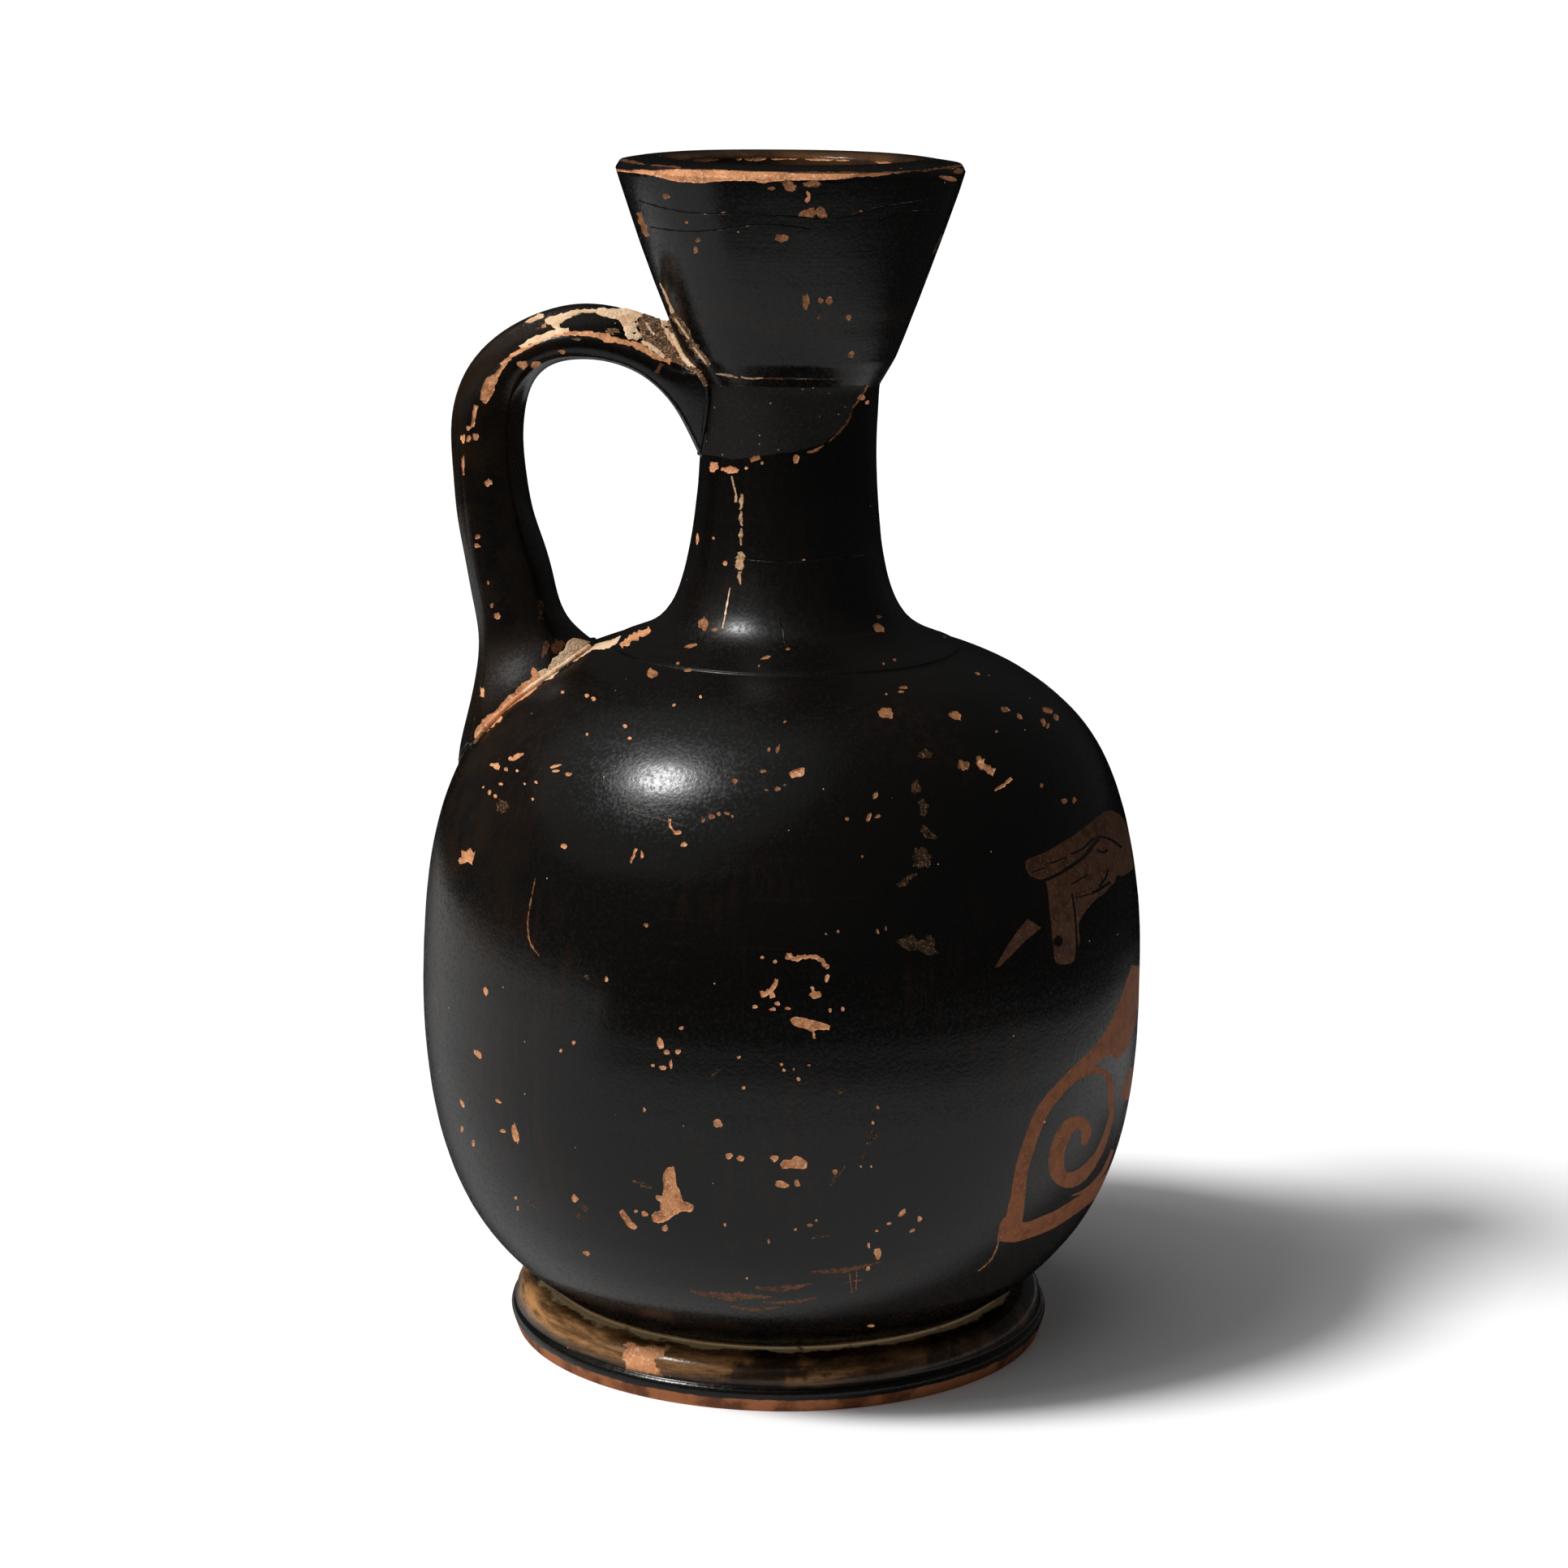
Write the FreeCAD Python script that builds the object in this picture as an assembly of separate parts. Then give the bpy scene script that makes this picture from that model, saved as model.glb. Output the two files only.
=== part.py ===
import FreeCAD, Part
import math
import os

# A small wheel-thrown oil jug in fired clay, in millimetres.
# +Z is up on the foot's axis, the origin is on the table at the foot's centre, and the handle points to -X.

# Foot
contact_radius = 36.5        # outer edge of the ring that stands on the table
foot_radius = 37.3           # the disc at its widest
band_height = 1.7            # bare clay band round the bottom of the disc
rim_height = 3.0             # top of the disc's rounded rim, where the groove starts
rim_round = 0.2              # how far the rim draws in above and below its widest
groove_depth = 0.65
groove_width = 0.6
torus_radius = 36.6          # lower edge of the rounded moulding above the groove
torus_swell = 0.75           # how far the moulding bows out
ledge_radius = 34.2          # outer edge of the flat ledge on top of the foot
ledge_drop = 0.5             # joint with the body down to the ledge's outer edge
foot_height = 7.3            # table to the joint with the body
joint_radius = 32.2          # body at its joint with the foot
seam_width = 1.1             # reserved seam where the ledge turns up to the body
seam_drop = 0.4
ring_width = 6.0             # flat part of the standing ring
recess_depth = 3.6           # hollow under the foot
recess_slope = 2.2           # how far the recess draws in over its depth

# Body
body_radius = 49.15
belly_height = 51.0          # table to the widest point
shoulder_radius = 23.5       # where the body meets the neck's base
shoulder_height = 95.45
wall = 4.0
floor_thickness = 5.0

# Neck
neck_radius = 11.9           # at its waist
neck_length = 35.05          # shoulder to mouth
neck_flare = 0.25            # how much wider the neck is where the mouth sits on it
step_height = 0.45           # small step where the neck's base laps the shoulder
step_round = 0.4             # how far the step's top edge draws in
step_overhang = 0.1
bore_radius = 6.5
bore_rise = 4.2              # shoulder to the bottom of the straight bore

# Mouth
cup_base_radius = 14.3       # bottom corner of the cup
cup_base_rise = 3.6          # height of the slanting underside
cup_radius = 23.16           # outer edge of the lip
cup_height = 28.1            # neck's top to the lip's outer edge
cup_swell = 0.35             # how far the cup's side bows out from a straight cone
lip_height = 1.6             # outer edge to the top of the lip
lip_edge = 0.7               # how far the rounded edge draws in
lip_edge_rise = 1.1          # and how far it rises
lip_dome = 0.12              # how far the lip's top bows up
lip_top_radius = 17.6        # circle along the top of the domed lip
mouth_radius = 14.9          # opening inside the lip
mouth_drop = 0.95            # top of the lip down to the opening
mouth_round = 0.24           # how far the lip's inner edge bows out

# Handle
handle_reach = 45.5          # axis to the outer face at the grip
strap_thickness = 9.8        # at the grip, over the middle ridge
strap_half_width = 6.2       # at the edge ridges
crest_rise = 0.25            # how far the middle ridge's top is domed
crest_share = 0.22           # width of the middle ridge's top, as a share of the strap's
flute_depth = 0.12           # hollow between the ridges, as a share of the middle ridge's rise
side_swell = 0.1             # how far the strap's sides bow out, as a share of their half width
root_turn = 0.76             # where along the shoulder's curve the lower root sits, from 0 to 1

neck_top = shoulder_height + neck_length
lip_edge_height = neck_top + cup_height


def point(radius, height):
    return FreeCAD.Vector(radius, 0, height)


def mix(start, end, share):
    return start + (end - start) * share


def line(start, end):
    return Part.LineSegment(start, end).toShape()


def arc(start, middle, end):
    return Part.Arc(start, middle, end).toShape()


def smooth(points):
    curve = Part.BSplineCurve()
    curve.interpolate(points)
    return curve.toShape()


def halves(curve):
    """The curve as two edges, which keeps its turned surface light to mesh."""
    return [curve.toShape(0, 0.5), curve.toShape(0.5, 1)]


def bow(start, end, bulge):
    """The middle point of an arc that bows to the left of start-to-end by bulge."""
    run = end - start
    side = FreeCAD.Vector(-run.z, 0, run.x).normalize()
    return (start + end) * 0.5 + side * bulge


def lower_body(joint, widest):
    """The body's curve from the foot to its widest point, upright there."""
    reach = widest.x - joint.x
    rise = widest.z - joint.z
    curve = Part.BezierCurve()
    curve.setPoles([
        joint,
        point(joint.x + 0.832 * reach, joint.z + 0.204 * rise),
        point(widest.x, joint.z + 0.508 * rise),
        widest,
    ])
    return curve


def upper_body(widest, shoulder):
    """The body's curve from its widest point over the shoulder to the neck."""
    reach = widest.x - shoulder.x
    rise = shoulder.z - widest.z
    curve = Part.BezierCurve()
    curve.setPoles([
        widest,
        point(widest.x, widest.z + 0.549 * rise),
        point(shoulder.x + 0.749 * reach, widest.z + 0.873 * rise),
        shoulder,
    ])
    return curve


def revolve(edges):
    """A solid turned about the axis from a chain of edges that starts and ends on it."""
    first = edges[0].Vertexes[0].Point
    last = edges[-1].Vertexes[-1].Point
    wire = Part.Wire(edges + [line(last, first)])
    return Part.Face(wire).revolve(FreeCAD.Vector(0, 0, 0), FreeCAD.Vector(0, 0, 1), 360)


def foot_edges(joint):
    """The foot's outline from the axis out to the ring, up round the disc and in to the body."""
    ring = point(contact_radius, 0)
    band = point(foot_radius - rim_round, band_height)
    edge = point(foot_radius, (band_height + rim_height) / 2)
    rim = point(foot_radius - rim_round, rim_height)
    groove = point(foot_radius - groove_depth, rim_height + groove_width / 2)
    torus = point(torus_radius, rim_height + groove_width)
    ledge = point(ledge_radius, foot_height - ledge_drop)
    seam = point(joint.x + seam_width, foot_height - seam_drop)
    return [
        line(point(0, 0), ring),
        line(ring, band),
        line(band, edge),
        line(edge, rim),
        line(rim, groove),
        line(groove, torus),
        arc(torus, bow(torus, ledge, -torus_swell), ledge),
        line(ledge, seam),
        line(seam, joint),
    ]


def neck_edges(step):
    """The neck from the step on the shoulder, sweeping in to its waist and up to the mouth."""
    reach = step.x - neck_radius
    return [smooth([
        step,
        point(neck_radius + 0.42 * reach, shoulder_height + 0.115 * neck_length),
        point(neck_radius + 0.185 * reach, shoulder_height + 0.27 * neck_length),
        point(neck_radius + 0.055 * reach, shoulder_height + 0.50 * neck_length),
        point(neck_radius, shoulder_height + 0.75 * neck_length),
        point(neck_radius + neck_flare, neck_top),
    ])]


def mouth_edges():
    """The cup from the neck's top over the lip to the axis."""
    base = point(cup_base_radius, neck_top + cup_base_rise)
    edge = point(cup_radius, lip_edge_height)
    shelf = point(cup_radius - lip_edge, lip_edge_height + lip_edge_rise)
    top = point(lip_top_radius, lip_edge_height + lip_height)
    return [
        line(point(neck_radius + neck_flare, neck_top), base),
        arc(base, bow(base, edge, -cup_swell), edge),
        line(edge, shelf),
        arc(shelf, bow(shelf, top, -lip_dome), top),
        line(top, point(0, top.z)),
    ]


def outside():
    joint = point(joint_radius, foot_height)
    widest = point(body_radius, belly_height)
    shoulder = point(shoulder_radius, shoulder_height)
    step = point(shoulder_radius - step_round, shoulder_height + step_height)
    lap = point(shoulder_radius + step_overhang, shoulder_height + step_height / 2)
    edges = foot_edges(joint)
    edges += halves(lower_body(joint, widest))
    edges += halves(upper_body(widest, shoulder))
    edges += [line(shoulder, lap), line(lap, step)]
    return revolve(edges + neck_edges(step) + mouth_edges())


def inside():
    """The hollow: the body a wall thickness in, the bore of the neck and the funnel of the mouth."""
    floor = recess_depth + floor_thickness
    corner = point(joint_radius - wall, floor)
    widest = point(body_radius - wall, belly_height)
    bore_bottom = point(bore_radius, shoulder_height + bore_rise)
    throat = point(bore_radius, neck_top)
    lip_top = point(lip_top_radius, lip_edge_height + lip_height)
    opening = point(mouth_radius, lip_top.z - mouth_drop)
    above = lip_top.z + wall
    shoulder = point(shoulder_radius - wall, shoulder_height - wall)
    roof = smooth([
        shoulder,
        point(mix(bore_radius, shoulder.x, 0.35), mix(shoulder.z, bore_bottom.z, 0.35)),
        bore_bottom,
    ])
    return revolve([
        line(point(0, floor), corner),
        *halves(lower_body(corner, widest)),
        *halves(upper_body(widest, shoulder)),
        roof,
        line(bore_bottom, throat),
        smooth([
            throat,
            point(mix(throat.x, opening.x, 0.30), mix(throat.z, opening.z, 0.18)),
            point(mix(throat.x, opening.x, 0.85), mix(throat.z, opening.z, 0.70)),
            opening,
        ]),
        arc(opening, bow(opening, lip_top, mouth_round), lip_top),
        line(lip_top, point(lip_top.x, above)),
        line(point(lip_top.x, above), point(0, above)),
    ])


def foot_recess():
    rim = contact_radius - ring_width
    return revolve([
        line(point(0, -wall), point(rim, -wall)),
        line(point(rim, -wall), point(rim, 0)),
        line(point(rim, 0), point(rim - recess_slope, recess_depth)),
        line(point(rim - recess_slope, recess_depth), point(0, recess_depth)),
    ])


def strap_section(centre, lean, thickness, under, edge, ridge, belly):
    """One cross-section of the handle: a flat-bellied strap with an edge ridge on each side, a
    middle ridge on the outer face and a shallow flute between them."""
    out = FreeCAD.Vector(-math.cos(math.radians(lean)), 0, math.sin(math.radians(lean)))
    across = FreeCAD.Vector(0, 1, 0)

    def at(depth, side):
        return centre + out * (depth - thickness / 2) + across * side

    crest = thickness - crest_rise
    crest_half = crest_share * edge
    shelf = thickness - ridge
    side = (under + edge) / 2 * (1 + side_swell)
    edges = [arc(at(belly, -under), at(0, 0), at(belly, under))]
    corners = []
    for sign in (1, -1):
        low = at(belly, sign * under)
        high = at(shelf, sign * edge)
        top = at(crest, sign * crest_half)
        middle = at((belly + shelf) / 2, sign * side)
        flute = at((shelf + crest) / 2 - flute_depth * ridge, sign * (edge + crest_half) / 2)
        corners.append((low, middle, high, flute, top))
    near, far = corners
    edges.append(arc(near[0], near[1], near[2]))
    edges.append(arc(near[2], near[3], near[4]))
    edges.append(arc(near[4], at(thickness, 0), far[4]))
    edges.append(arc(far[4], far[3], far[2]))
    edges.append(arc(far[2], far[1], far[0]))
    return Part.Wire(edges)


def handle():
    """The strap from inside the neck's wall, over the arch, down to its spread root in the shoulder."""
    grip = handle_reach - strap_thickness / 2
    shoulder = upper_body(point(body_radius, belly_height), point(shoulder_radius, shoulder_height))
    root = shoulder.value(root_turn)
    # out: 0 at the neck's face and 1 at the grip. up: 0 at the lower root and 1 at the neck's top.
    # Then the lean of the section in degrees, and its thickness, half width of the underside, half
    # width at the edge ridges, rise of the middle ridge and bow of the underside, as shares.
    stations = [
        (-0.13, 0.77, 93, 3.45, 0.48, 1.22, 0.40, 0.20),
        (0.035, 0.925, 90, 2.05, 0.72, 1.17, 0.50, 0.16),
        (0.19, 1.09, 89, 0.92, 0.90, 1.08, 0.46, 0.08),
        (0.37, 1.14, 86, 0.78, 0.92, 1.03, 0.39, 0.08),
        (0.59, 1.15, 73, 0.755, 0.92, 1.00, 0.35, 0.08),
        (0.815, 1.09, 45, 0.775, 0.92, 1.00, 0.35, 0.10),
        (0.955, 0.975, 20, 0.91, 0.92, 1.00, 0.33, 0.12),
        (1.00, 0.755, 0, 1.00, 0.92, 1.00, 0.25, 0.13),
        (0.955, 0.505, -11, 1.05, 0.93, 1.02, 0.23, 0.13),
        (0.88, 0.29, -16.5, 1.17, 0.97, 1.06, 0.22, 0.16),
        (0.83, 0.125, -20.5, 1.37, 1.13, 1.18, 0.22, 0.22),
        (0.78, 0.01, -23.5, 1.92, 1.55, 1.60, 0.30, 0.50),
        (0.79, -0.14, -28.5, 2.34, 1.75, 1.75, 0.40, 0.60),
        (0.80, -0.28, -31, 2.20, 1.75, 1.75, 0.40, 0.60),
    ]
    sections = []
    for out, up, lean, thickness, under, edge, ridge, belly in stations:
        centre = FreeCAD.Vector(-mix(neck_radius, grip, out), 0, mix(root.z, neck_top, up))
        sections.append(strap_section(
            centre, lean, thickness * strap_thickness, under * strap_half_width,
            edge * strap_half_width, ridge * strap_thickness, belly * strap_thickness))
    return Part.makeLoft(sections, True, False, False, 3)


def lekythos():
    pot = outside().fuse(handle())
    pot = pot.cut(inside())
    pot = pot.cut(foot_recess())
    return pot.removeSplitter()


os.makedirs("parts", exist_ok=True)
shape = lekythos()
shape.exportStep("parts/lekythos.step")
print("solids", len(shape.Solids), "valid", shape.isValid(), "volume", round(shape.Volume / 1000, 1), "ml")
print("box", shape.BoundBox)
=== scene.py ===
import math

import bpy
import numpy as np
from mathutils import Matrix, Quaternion, Vector
from mathutils.bvhtree import BVHTree
from mathutils.geometry import delaunay_2d_cdt
from mathutils.kdtree import KDTree


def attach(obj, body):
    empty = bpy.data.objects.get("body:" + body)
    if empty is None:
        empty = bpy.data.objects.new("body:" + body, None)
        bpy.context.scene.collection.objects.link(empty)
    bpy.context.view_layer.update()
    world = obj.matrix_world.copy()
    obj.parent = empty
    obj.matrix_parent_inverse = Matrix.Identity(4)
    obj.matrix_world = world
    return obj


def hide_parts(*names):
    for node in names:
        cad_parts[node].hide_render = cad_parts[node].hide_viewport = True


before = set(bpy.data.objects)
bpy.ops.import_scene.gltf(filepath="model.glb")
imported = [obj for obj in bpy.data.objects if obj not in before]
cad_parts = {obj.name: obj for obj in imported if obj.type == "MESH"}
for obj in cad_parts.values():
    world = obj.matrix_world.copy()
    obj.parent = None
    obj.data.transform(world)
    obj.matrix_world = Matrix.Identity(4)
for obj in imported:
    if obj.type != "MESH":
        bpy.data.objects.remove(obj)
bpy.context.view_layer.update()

mm = 0.001
print("stage: frame loaded")


def mix(start, end, share):
    return start + (end - start) * share


def lengthsAlong(points):
    # the length from a path's first point to each of its points
    return np.concatenate([[0], np.cumsum(np.linalg.norm(np.diff(points, axis=0), axis=1))])


def placesAt(at, run, points):
    return np.stack([np.interp(at, run, column) for column in points.T], -1)


def unit(vectors):
    return vectors / np.maximum(np.linalg.norm(vectors, axis=-1)[..., None], 1e-12)


# Camera. Places in the picture are given in its own 1932 x 1932 pixels.
cameraView = {
    "side": 52.17,          # mm, a little towards the pot's front
    "back": -498.75,
    "height": 187.9,
    "lookSide": -0.02,
    "lookHeight": 75.92,
    "lens": 86.87,
    "roll": 0.0112,
    "pictureSize": 1932,
    "nearest": 420,         # mm from the camera between which the whole pot lies
    "farthest": 580,
}


def makeCamera(view):
    data = bpy.data.cameras.new("camera")
    data.lens = view["lens"]
    data.sensor_width = 36
    camera = bpy.data.objects.new("camera", data)
    place = Vector((view["side"], view["back"], view["height"])) * mm
    target = Vector((view["lookSide"], 0, view["lookHeight"])) * mm
    turn = (target - place).to_track_quat("-Z", "Y") @ Quaternion((0, 0, 1), view["roll"])
    camera.location = place
    camera.rotation_mode = "QUATERNION"
    camera.rotation_quaternion = turn
    data.clip_start, data.clip_end = 0.01, 100
    bpy.context.scene.collection.objects.link(camera)
    bpy.context.scene.camera = camera
    return camera


def pictureRays(camera, spots):
    # the camera's place and one direction for each picture spot, in mm
    half = cameraView["pictureSize"] / 2
    focal = camera.data.lens / camera.data.sensor_width * cameraView["pictureSize"]
    local = np.array([((x - half) / focal, (half - y) / focal, -1) for x, y in spots])
    turn = np.array(camera.rotation_quaternion.to_matrix())
    return np.array(camera.location) / mm, unit(local @ turn.T)


# The turned form, in millimetres
pot = {
    "contactRadius": 36.5, "footRadius": 37.3, "bandHeight": 1.7, "rimHeight": 3.0, "rimRound": 0.2,
    "grooveDepth": 0.65, "grooveWidth": 0.6, "torusRadius": 36.6, "torusSwell": 0.75,
    "ledgeRadius": 34.2, "ledgeDrop": 0.5, "footHeight": 7.3, "jointRadius": 32.2,
    "seamWidth": 1.1, "seamDrop": 0.4, "ringWidth": 6.0, "recessDepth": 3.6, "recessSlope": 2.2,
    "bodyRadius": 49.15, "bellyHeight": 51.0, "shoulderRadius": 23.5, "shoulderHeight": 95.45,
    "wall": 4.0, "floorThickness": 5.0,
    "neckRadius": 11.9, "neckLength": 35.05, "neckFlare": 0.25,
    "stepHeight": 0.45, "stepRound": 0.4, "stepOverhang": 0.1, "boreRadius": 6.5, "boreRise": 4.2,
    "cupBaseRadius": 14.3, "cupBaseRise": 3.6, "cupRadius": 23.16, "cupHeight": 28.1, "cupSwell": 0.35,
    "lipHeight": 1.6, "lipEdge": 0.7, "lipEdgeRise": 1.1, "lipDome": 0.12, "lipTopRadius": 17.6,
    "mouthRadius": 14.9, "mouthDrop": 0.95, "mouthRound": 0.24,
}
skin = {
    "columns": 240,
    "sampleStep": 0.05,       # mm along the outline
    "cornerRound": 0.16,      # mm, how softly the outline's corners are worn
    "turnPerRow": 0.3,        # most the outline turns between two rows, in radians
    "leastStep": 0.1,
    "normalStep": (0.0006, 0.04),      # turns and mm, either side of a place
    "waveFade": (12, 6),      # mm at the foot and at the mouth where the waves die out
    "waveShift": 0.22,        # mm that the waved wall lies inwards, so that it stays within the solid's size
    "maxStep": {"recess": 4.0, "ring": 2.0, "foot": 0.9, "body": 1.35, "neck": 0.85, "cup": 0.7,
                "lip": 0.45, "funnel": 2.0, "inside": 4.5},
}


def straight(start, end, count=60):
    return [(mix(start[0], end[0], k / count), mix(start[1], end[1], k / count)) for k in range(count + 1)]


def bowed(start, end, bulge, count=60):
    # an arc that bows to the left of start-to-end
    if abs(bulge) < 1e-6:
        return straight(start, end, count)
    chord = math.dist(start, end)
    along = ((end[0] - start[0]) / chord, (end[1] - start[1]) / chord)
    left = (-along[1], along[0])
    radius = (chord * chord / 4 + bulge * bulge) / (2 * abs(bulge))
    half = math.asin(min(1, chord / 2 / radius))
    side = math.copysign(1, bulge)
    points = []
    for k in range(count + 1):
        angle = mix(-half, half, k / count)
        run = radius * math.sin(angle) + chord / 2
        rise = side * (radius * math.cos(angle) - radius + abs(bulge))
        points.append(tuple(start[k] + along[k] * run + left[k] * rise for k in (0, 1)))
    return points


def bezier(poles, count=200):
    p = np.array(poles)
    t = np.linspace(0, 1, count + 1)[:, None]
    curve = (1 - t) ** 3 * p[0] + 3 * t * (1 - t) ** 2 * p[1] + 3 * t * t * (1 - t) * p[2] + t ** 3 * p[3]
    return [tuple(q) for q in curve]


def naturalSpline(knots, values, at):
    # natural cubic spline through rows of values
    x, y = np.asarray(knots, float), np.asarray(values, float)
    n, h = len(x), np.diff(np.asarray(knots, float))
    system, right = np.eye(n), np.zeros_like(y)
    for k in range(1, n - 1):
        system[k, k - 1:k + 2] = h[k - 1], 2 * (h[k - 1] + h[k]), h[k]
        right[k] = 6 * ((y[k + 1] - y[k]) / h[k] - (y[k] - y[k - 1]) / h[k - 1])
    bend = np.linalg.solve(system, right)
    k = np.clip(np.searchsorted(x, at, side="right") - 1, 0, n - 2)
    a, b = ((x[k + 1] - at) / h[k])[:, None], ((at - x[k]) / h[k])[:, None]
    curve = a * y[k] + b * y[k + 1]
    return curve + ((a ** 3 - a) * bend[k] + (b ** 3 - b) * bend[k + 1]) * (h[k] ** 2)[:, None] / 6


def smooth(points, count=200):
    p = np.array(points)
    knots = lengthsAlong(p)
    return [tuple(q) for q in naturalSpline(knots, p, np.linspace(0, knots[-1], count + 1))]


def lowerBody(joint, widest):
    reach, rise = widest[0] - joint[0], widest[1] - joint[1]
    return bezier([joint, (joint[0] + 0.832 * reach, joint[1] + 0.204 * rise),
                   (widest[0], joint[1] + 0.508 * rise), widest])


def upperBody(widest, shoulder):
    reach, rise = widest[0] - shoulder[0], shoulder[1] - widest[1]
    return bezier([widest, (widest[0], widest[1] + 0.549 * rise),
                   (shoulder[0] + 0.749 * reach, widest[1] + 0.873 * rise), shoulder])


def outlineStretches(p):
    # the closed half section, from the middle of the underside out, up and back down inside
    neckTop = p["shoulderHeight"] + p["neckLength"]
    lipEdge = neckTop + p["cupHeight"]
    ring = p["contactRadius"] - p["ringWidth"]
    joint = (p["jointRadius"], p["footHeight"])
    shoulder = (p["shoulderRadius"], p["shoulderHeight"])
    step = (shoulder[0] - p["stepRound"], shoulder[1] + p["stepHeight"])
    neckReach = step[0] - p["neckRadius"]
    neckWaist = [(p["neckRadius"] + share * neckReach, shoulder[1] + rise * p["neckLength"])
                 for share, rise in ((0.42, 0.115), (0.185, 0.27), (0.055, 0.5), (0, 0.75))]
    neckEnd = (p["neckRadius"] + p["neckFlare"], neckTop)
    rimSide = p["footRadius"] - p["rimRound"]
    torus = (p["torusRadius"], p["rimHeight"] + p["grooveWidth"])
    ledge = (p["ledgeRadius"], p["footHeight"] - p["ledgeDrop"])
    cupBase = (p["cupBaseRadius"], neckTop + p["cupBaseRise"])
    arris = (p["cupRadius"], lipEdge)
    shelf = (p["cupRadius"] - p["lipEdge"], lipEdge + p["lipEdgeRise"])
    lipTop = (p["lipTopRadius"], lipEdge + p["lipHeight"])
    opening = (p["mouthRadius"], lipTop[1] - p["mouthDrop"])
    throat = (p["boreRadius"], neckTop)
    boreBottom = (p["boreRadius"], shoulder[1] + p["boreRise"])
    roof = (shoulder[0] - p["wall"], shoulder[1] - p["wall"])
    floor = p["recessDepth"] + p["floorThickness"]
    widest, inner = (p["bodyRadius"], p["bellyHeight"]), (p["bodyRadius"] - p["wall"], p["bellyHeight"])
    corner = (p["jointRadius"] - p["wall"], floor)
    funnel = [throat, (mix(throat[0], opening[0], 0.30), mix(throat[1], opening[1], 0.18)),
              (mix(throat[0], opening[0], 0.85), mix(throat[1], opening[1], 0.70)), opening]
    footPath = [(p["contactRadius"], 0), (rimSide, p["bandHeight"]),
                (p["footRadius"], (p["bandHeight"] + p["rimHeight"]) / 2), (rimSide, p["rimHeight"]),
                (p["footRadius"] - p["grooveDepth"], p["rimHeight"] + p["grooveWidth"] / 2), torus]
    foot = []
    for start, end in zip(footPath, footPath[1:]):
        foot += straight(start, end, 20)
    foot += bowed(torus, ledge, -p["torusSwell"])
    foot += straight(ledge, (joint[0] + p["seamWidth"], joint[1] - p["seamDrop"]), 20)
    foot += straight((joint[0] + p["seamWidth"], joint[1] - p["seamDrop"]), joint, 20)
    return [
        ("recess", straight((0, p["recessDepth"]), (ring - p["recessSlope"], p["recessDepth"]))
         + straight((ring - p["recessSlope"], p["recessDepth"]), (ring, 0))),
        ("ring", straight((ring, 0), footPath[0])),
        ("foot", foot),
        ("body", lowerBody(joint, widest) + upperBody(widest, shoulder)),
        ("step", straight(shoulder, (shoulder[0] + p["stepOverhang"], shoulder[1] + p["stepHeight"] / 2), 10)
         + straight((shoulder[0] + p["stepOverhang"], shoulder[1] + p["stepHeight"] / 2), step, 10)),
        ("neck", smooth([step] + neckWaist + [neckEnd])),
        ("cup", straight(neckEnd, cupBase) + bowed(cupBase, arris, -p["cupSwell"])),
        ("lip", straight(arris, shelf) + bowed(shelf, lipTop, -p["lipDome"])
         + bowed(lipTop, opening, -p["mouthRound"])),
        ("funnel", smooth(funnel[::-1])),
        ("inside", straight(throat, boreBottom)
         + smooth([boreBottom, (mix(boreBottom[0], roof[0], 0.65), mix(boreBottom[1], roof[1], 0.65)), roof])
         + upperBody(inner, roof)[::-1] + lowerBody(corner, inner)[::-1] + straight(corner, (0, floor))),
    ]


def sampleOutline(stretches):
    # evenly spaced points along the outline with softened corners, and where each stretch starts
    points, marks, length = [], {}, 0
    for name, part in stretches:
        marks[name] = length
        part = np.array(part)
        if points:
            part = np.vstack([points[-1][-1:], part])
        length += np.linalg.norm(np.diff(part, axis=0), axis=1).sum()
        points.append(part)
    path = np.vstack(points)
    run = lengthsAlong(path)
    even = np.linspace(0, run[-1], int(run[-1] / skin["sampleStep"]) + 1)
    path = placesAt(even, run, path)
    width = skin["cornerRound"] / (even[1] - even[0])
    reach = int(4 * width)
    kernel = np.exp(-0.5 * (np.arange(-reach, reach + 1) / width) ** 2)
    kernel /= kernel.sum()
    padded = np.vstack([2 * path[0] - path[reach:0:-1], path, 2 * path[-1] - path[-2:-reach - 2:-1]])
    path = np.stack([np.convolve(padded[:, k], kernel, "valid") for k in (0, 1)], 1)
    marks["end"] = run[-1]
    return even, path, marks


outlineRun, outlinePath, outlineMarks = sampleOutline(outlineStretches(pot))
outlineSlope = unit(np.gradient(outlinePath, outlineRun, axis=0))

# Slow unevenness of a hand-turned pot: each wave's turns round the pot, length along the outline, depth
# and phase
waves = [(1, 61.0, 0.10, 0.3), (2, 47.0, 0.07, 1.9), (3, 29.0, 0.045, 4.1), (0, 6.3, 0.005, 0.8),
         (0, 3.9, 0.003, 2.2), (1, 5.1, 0.005, 5.0), (5, 23.0, 0.03, 2.9), (7, 15.0, 0.012, 1.4)]


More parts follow.
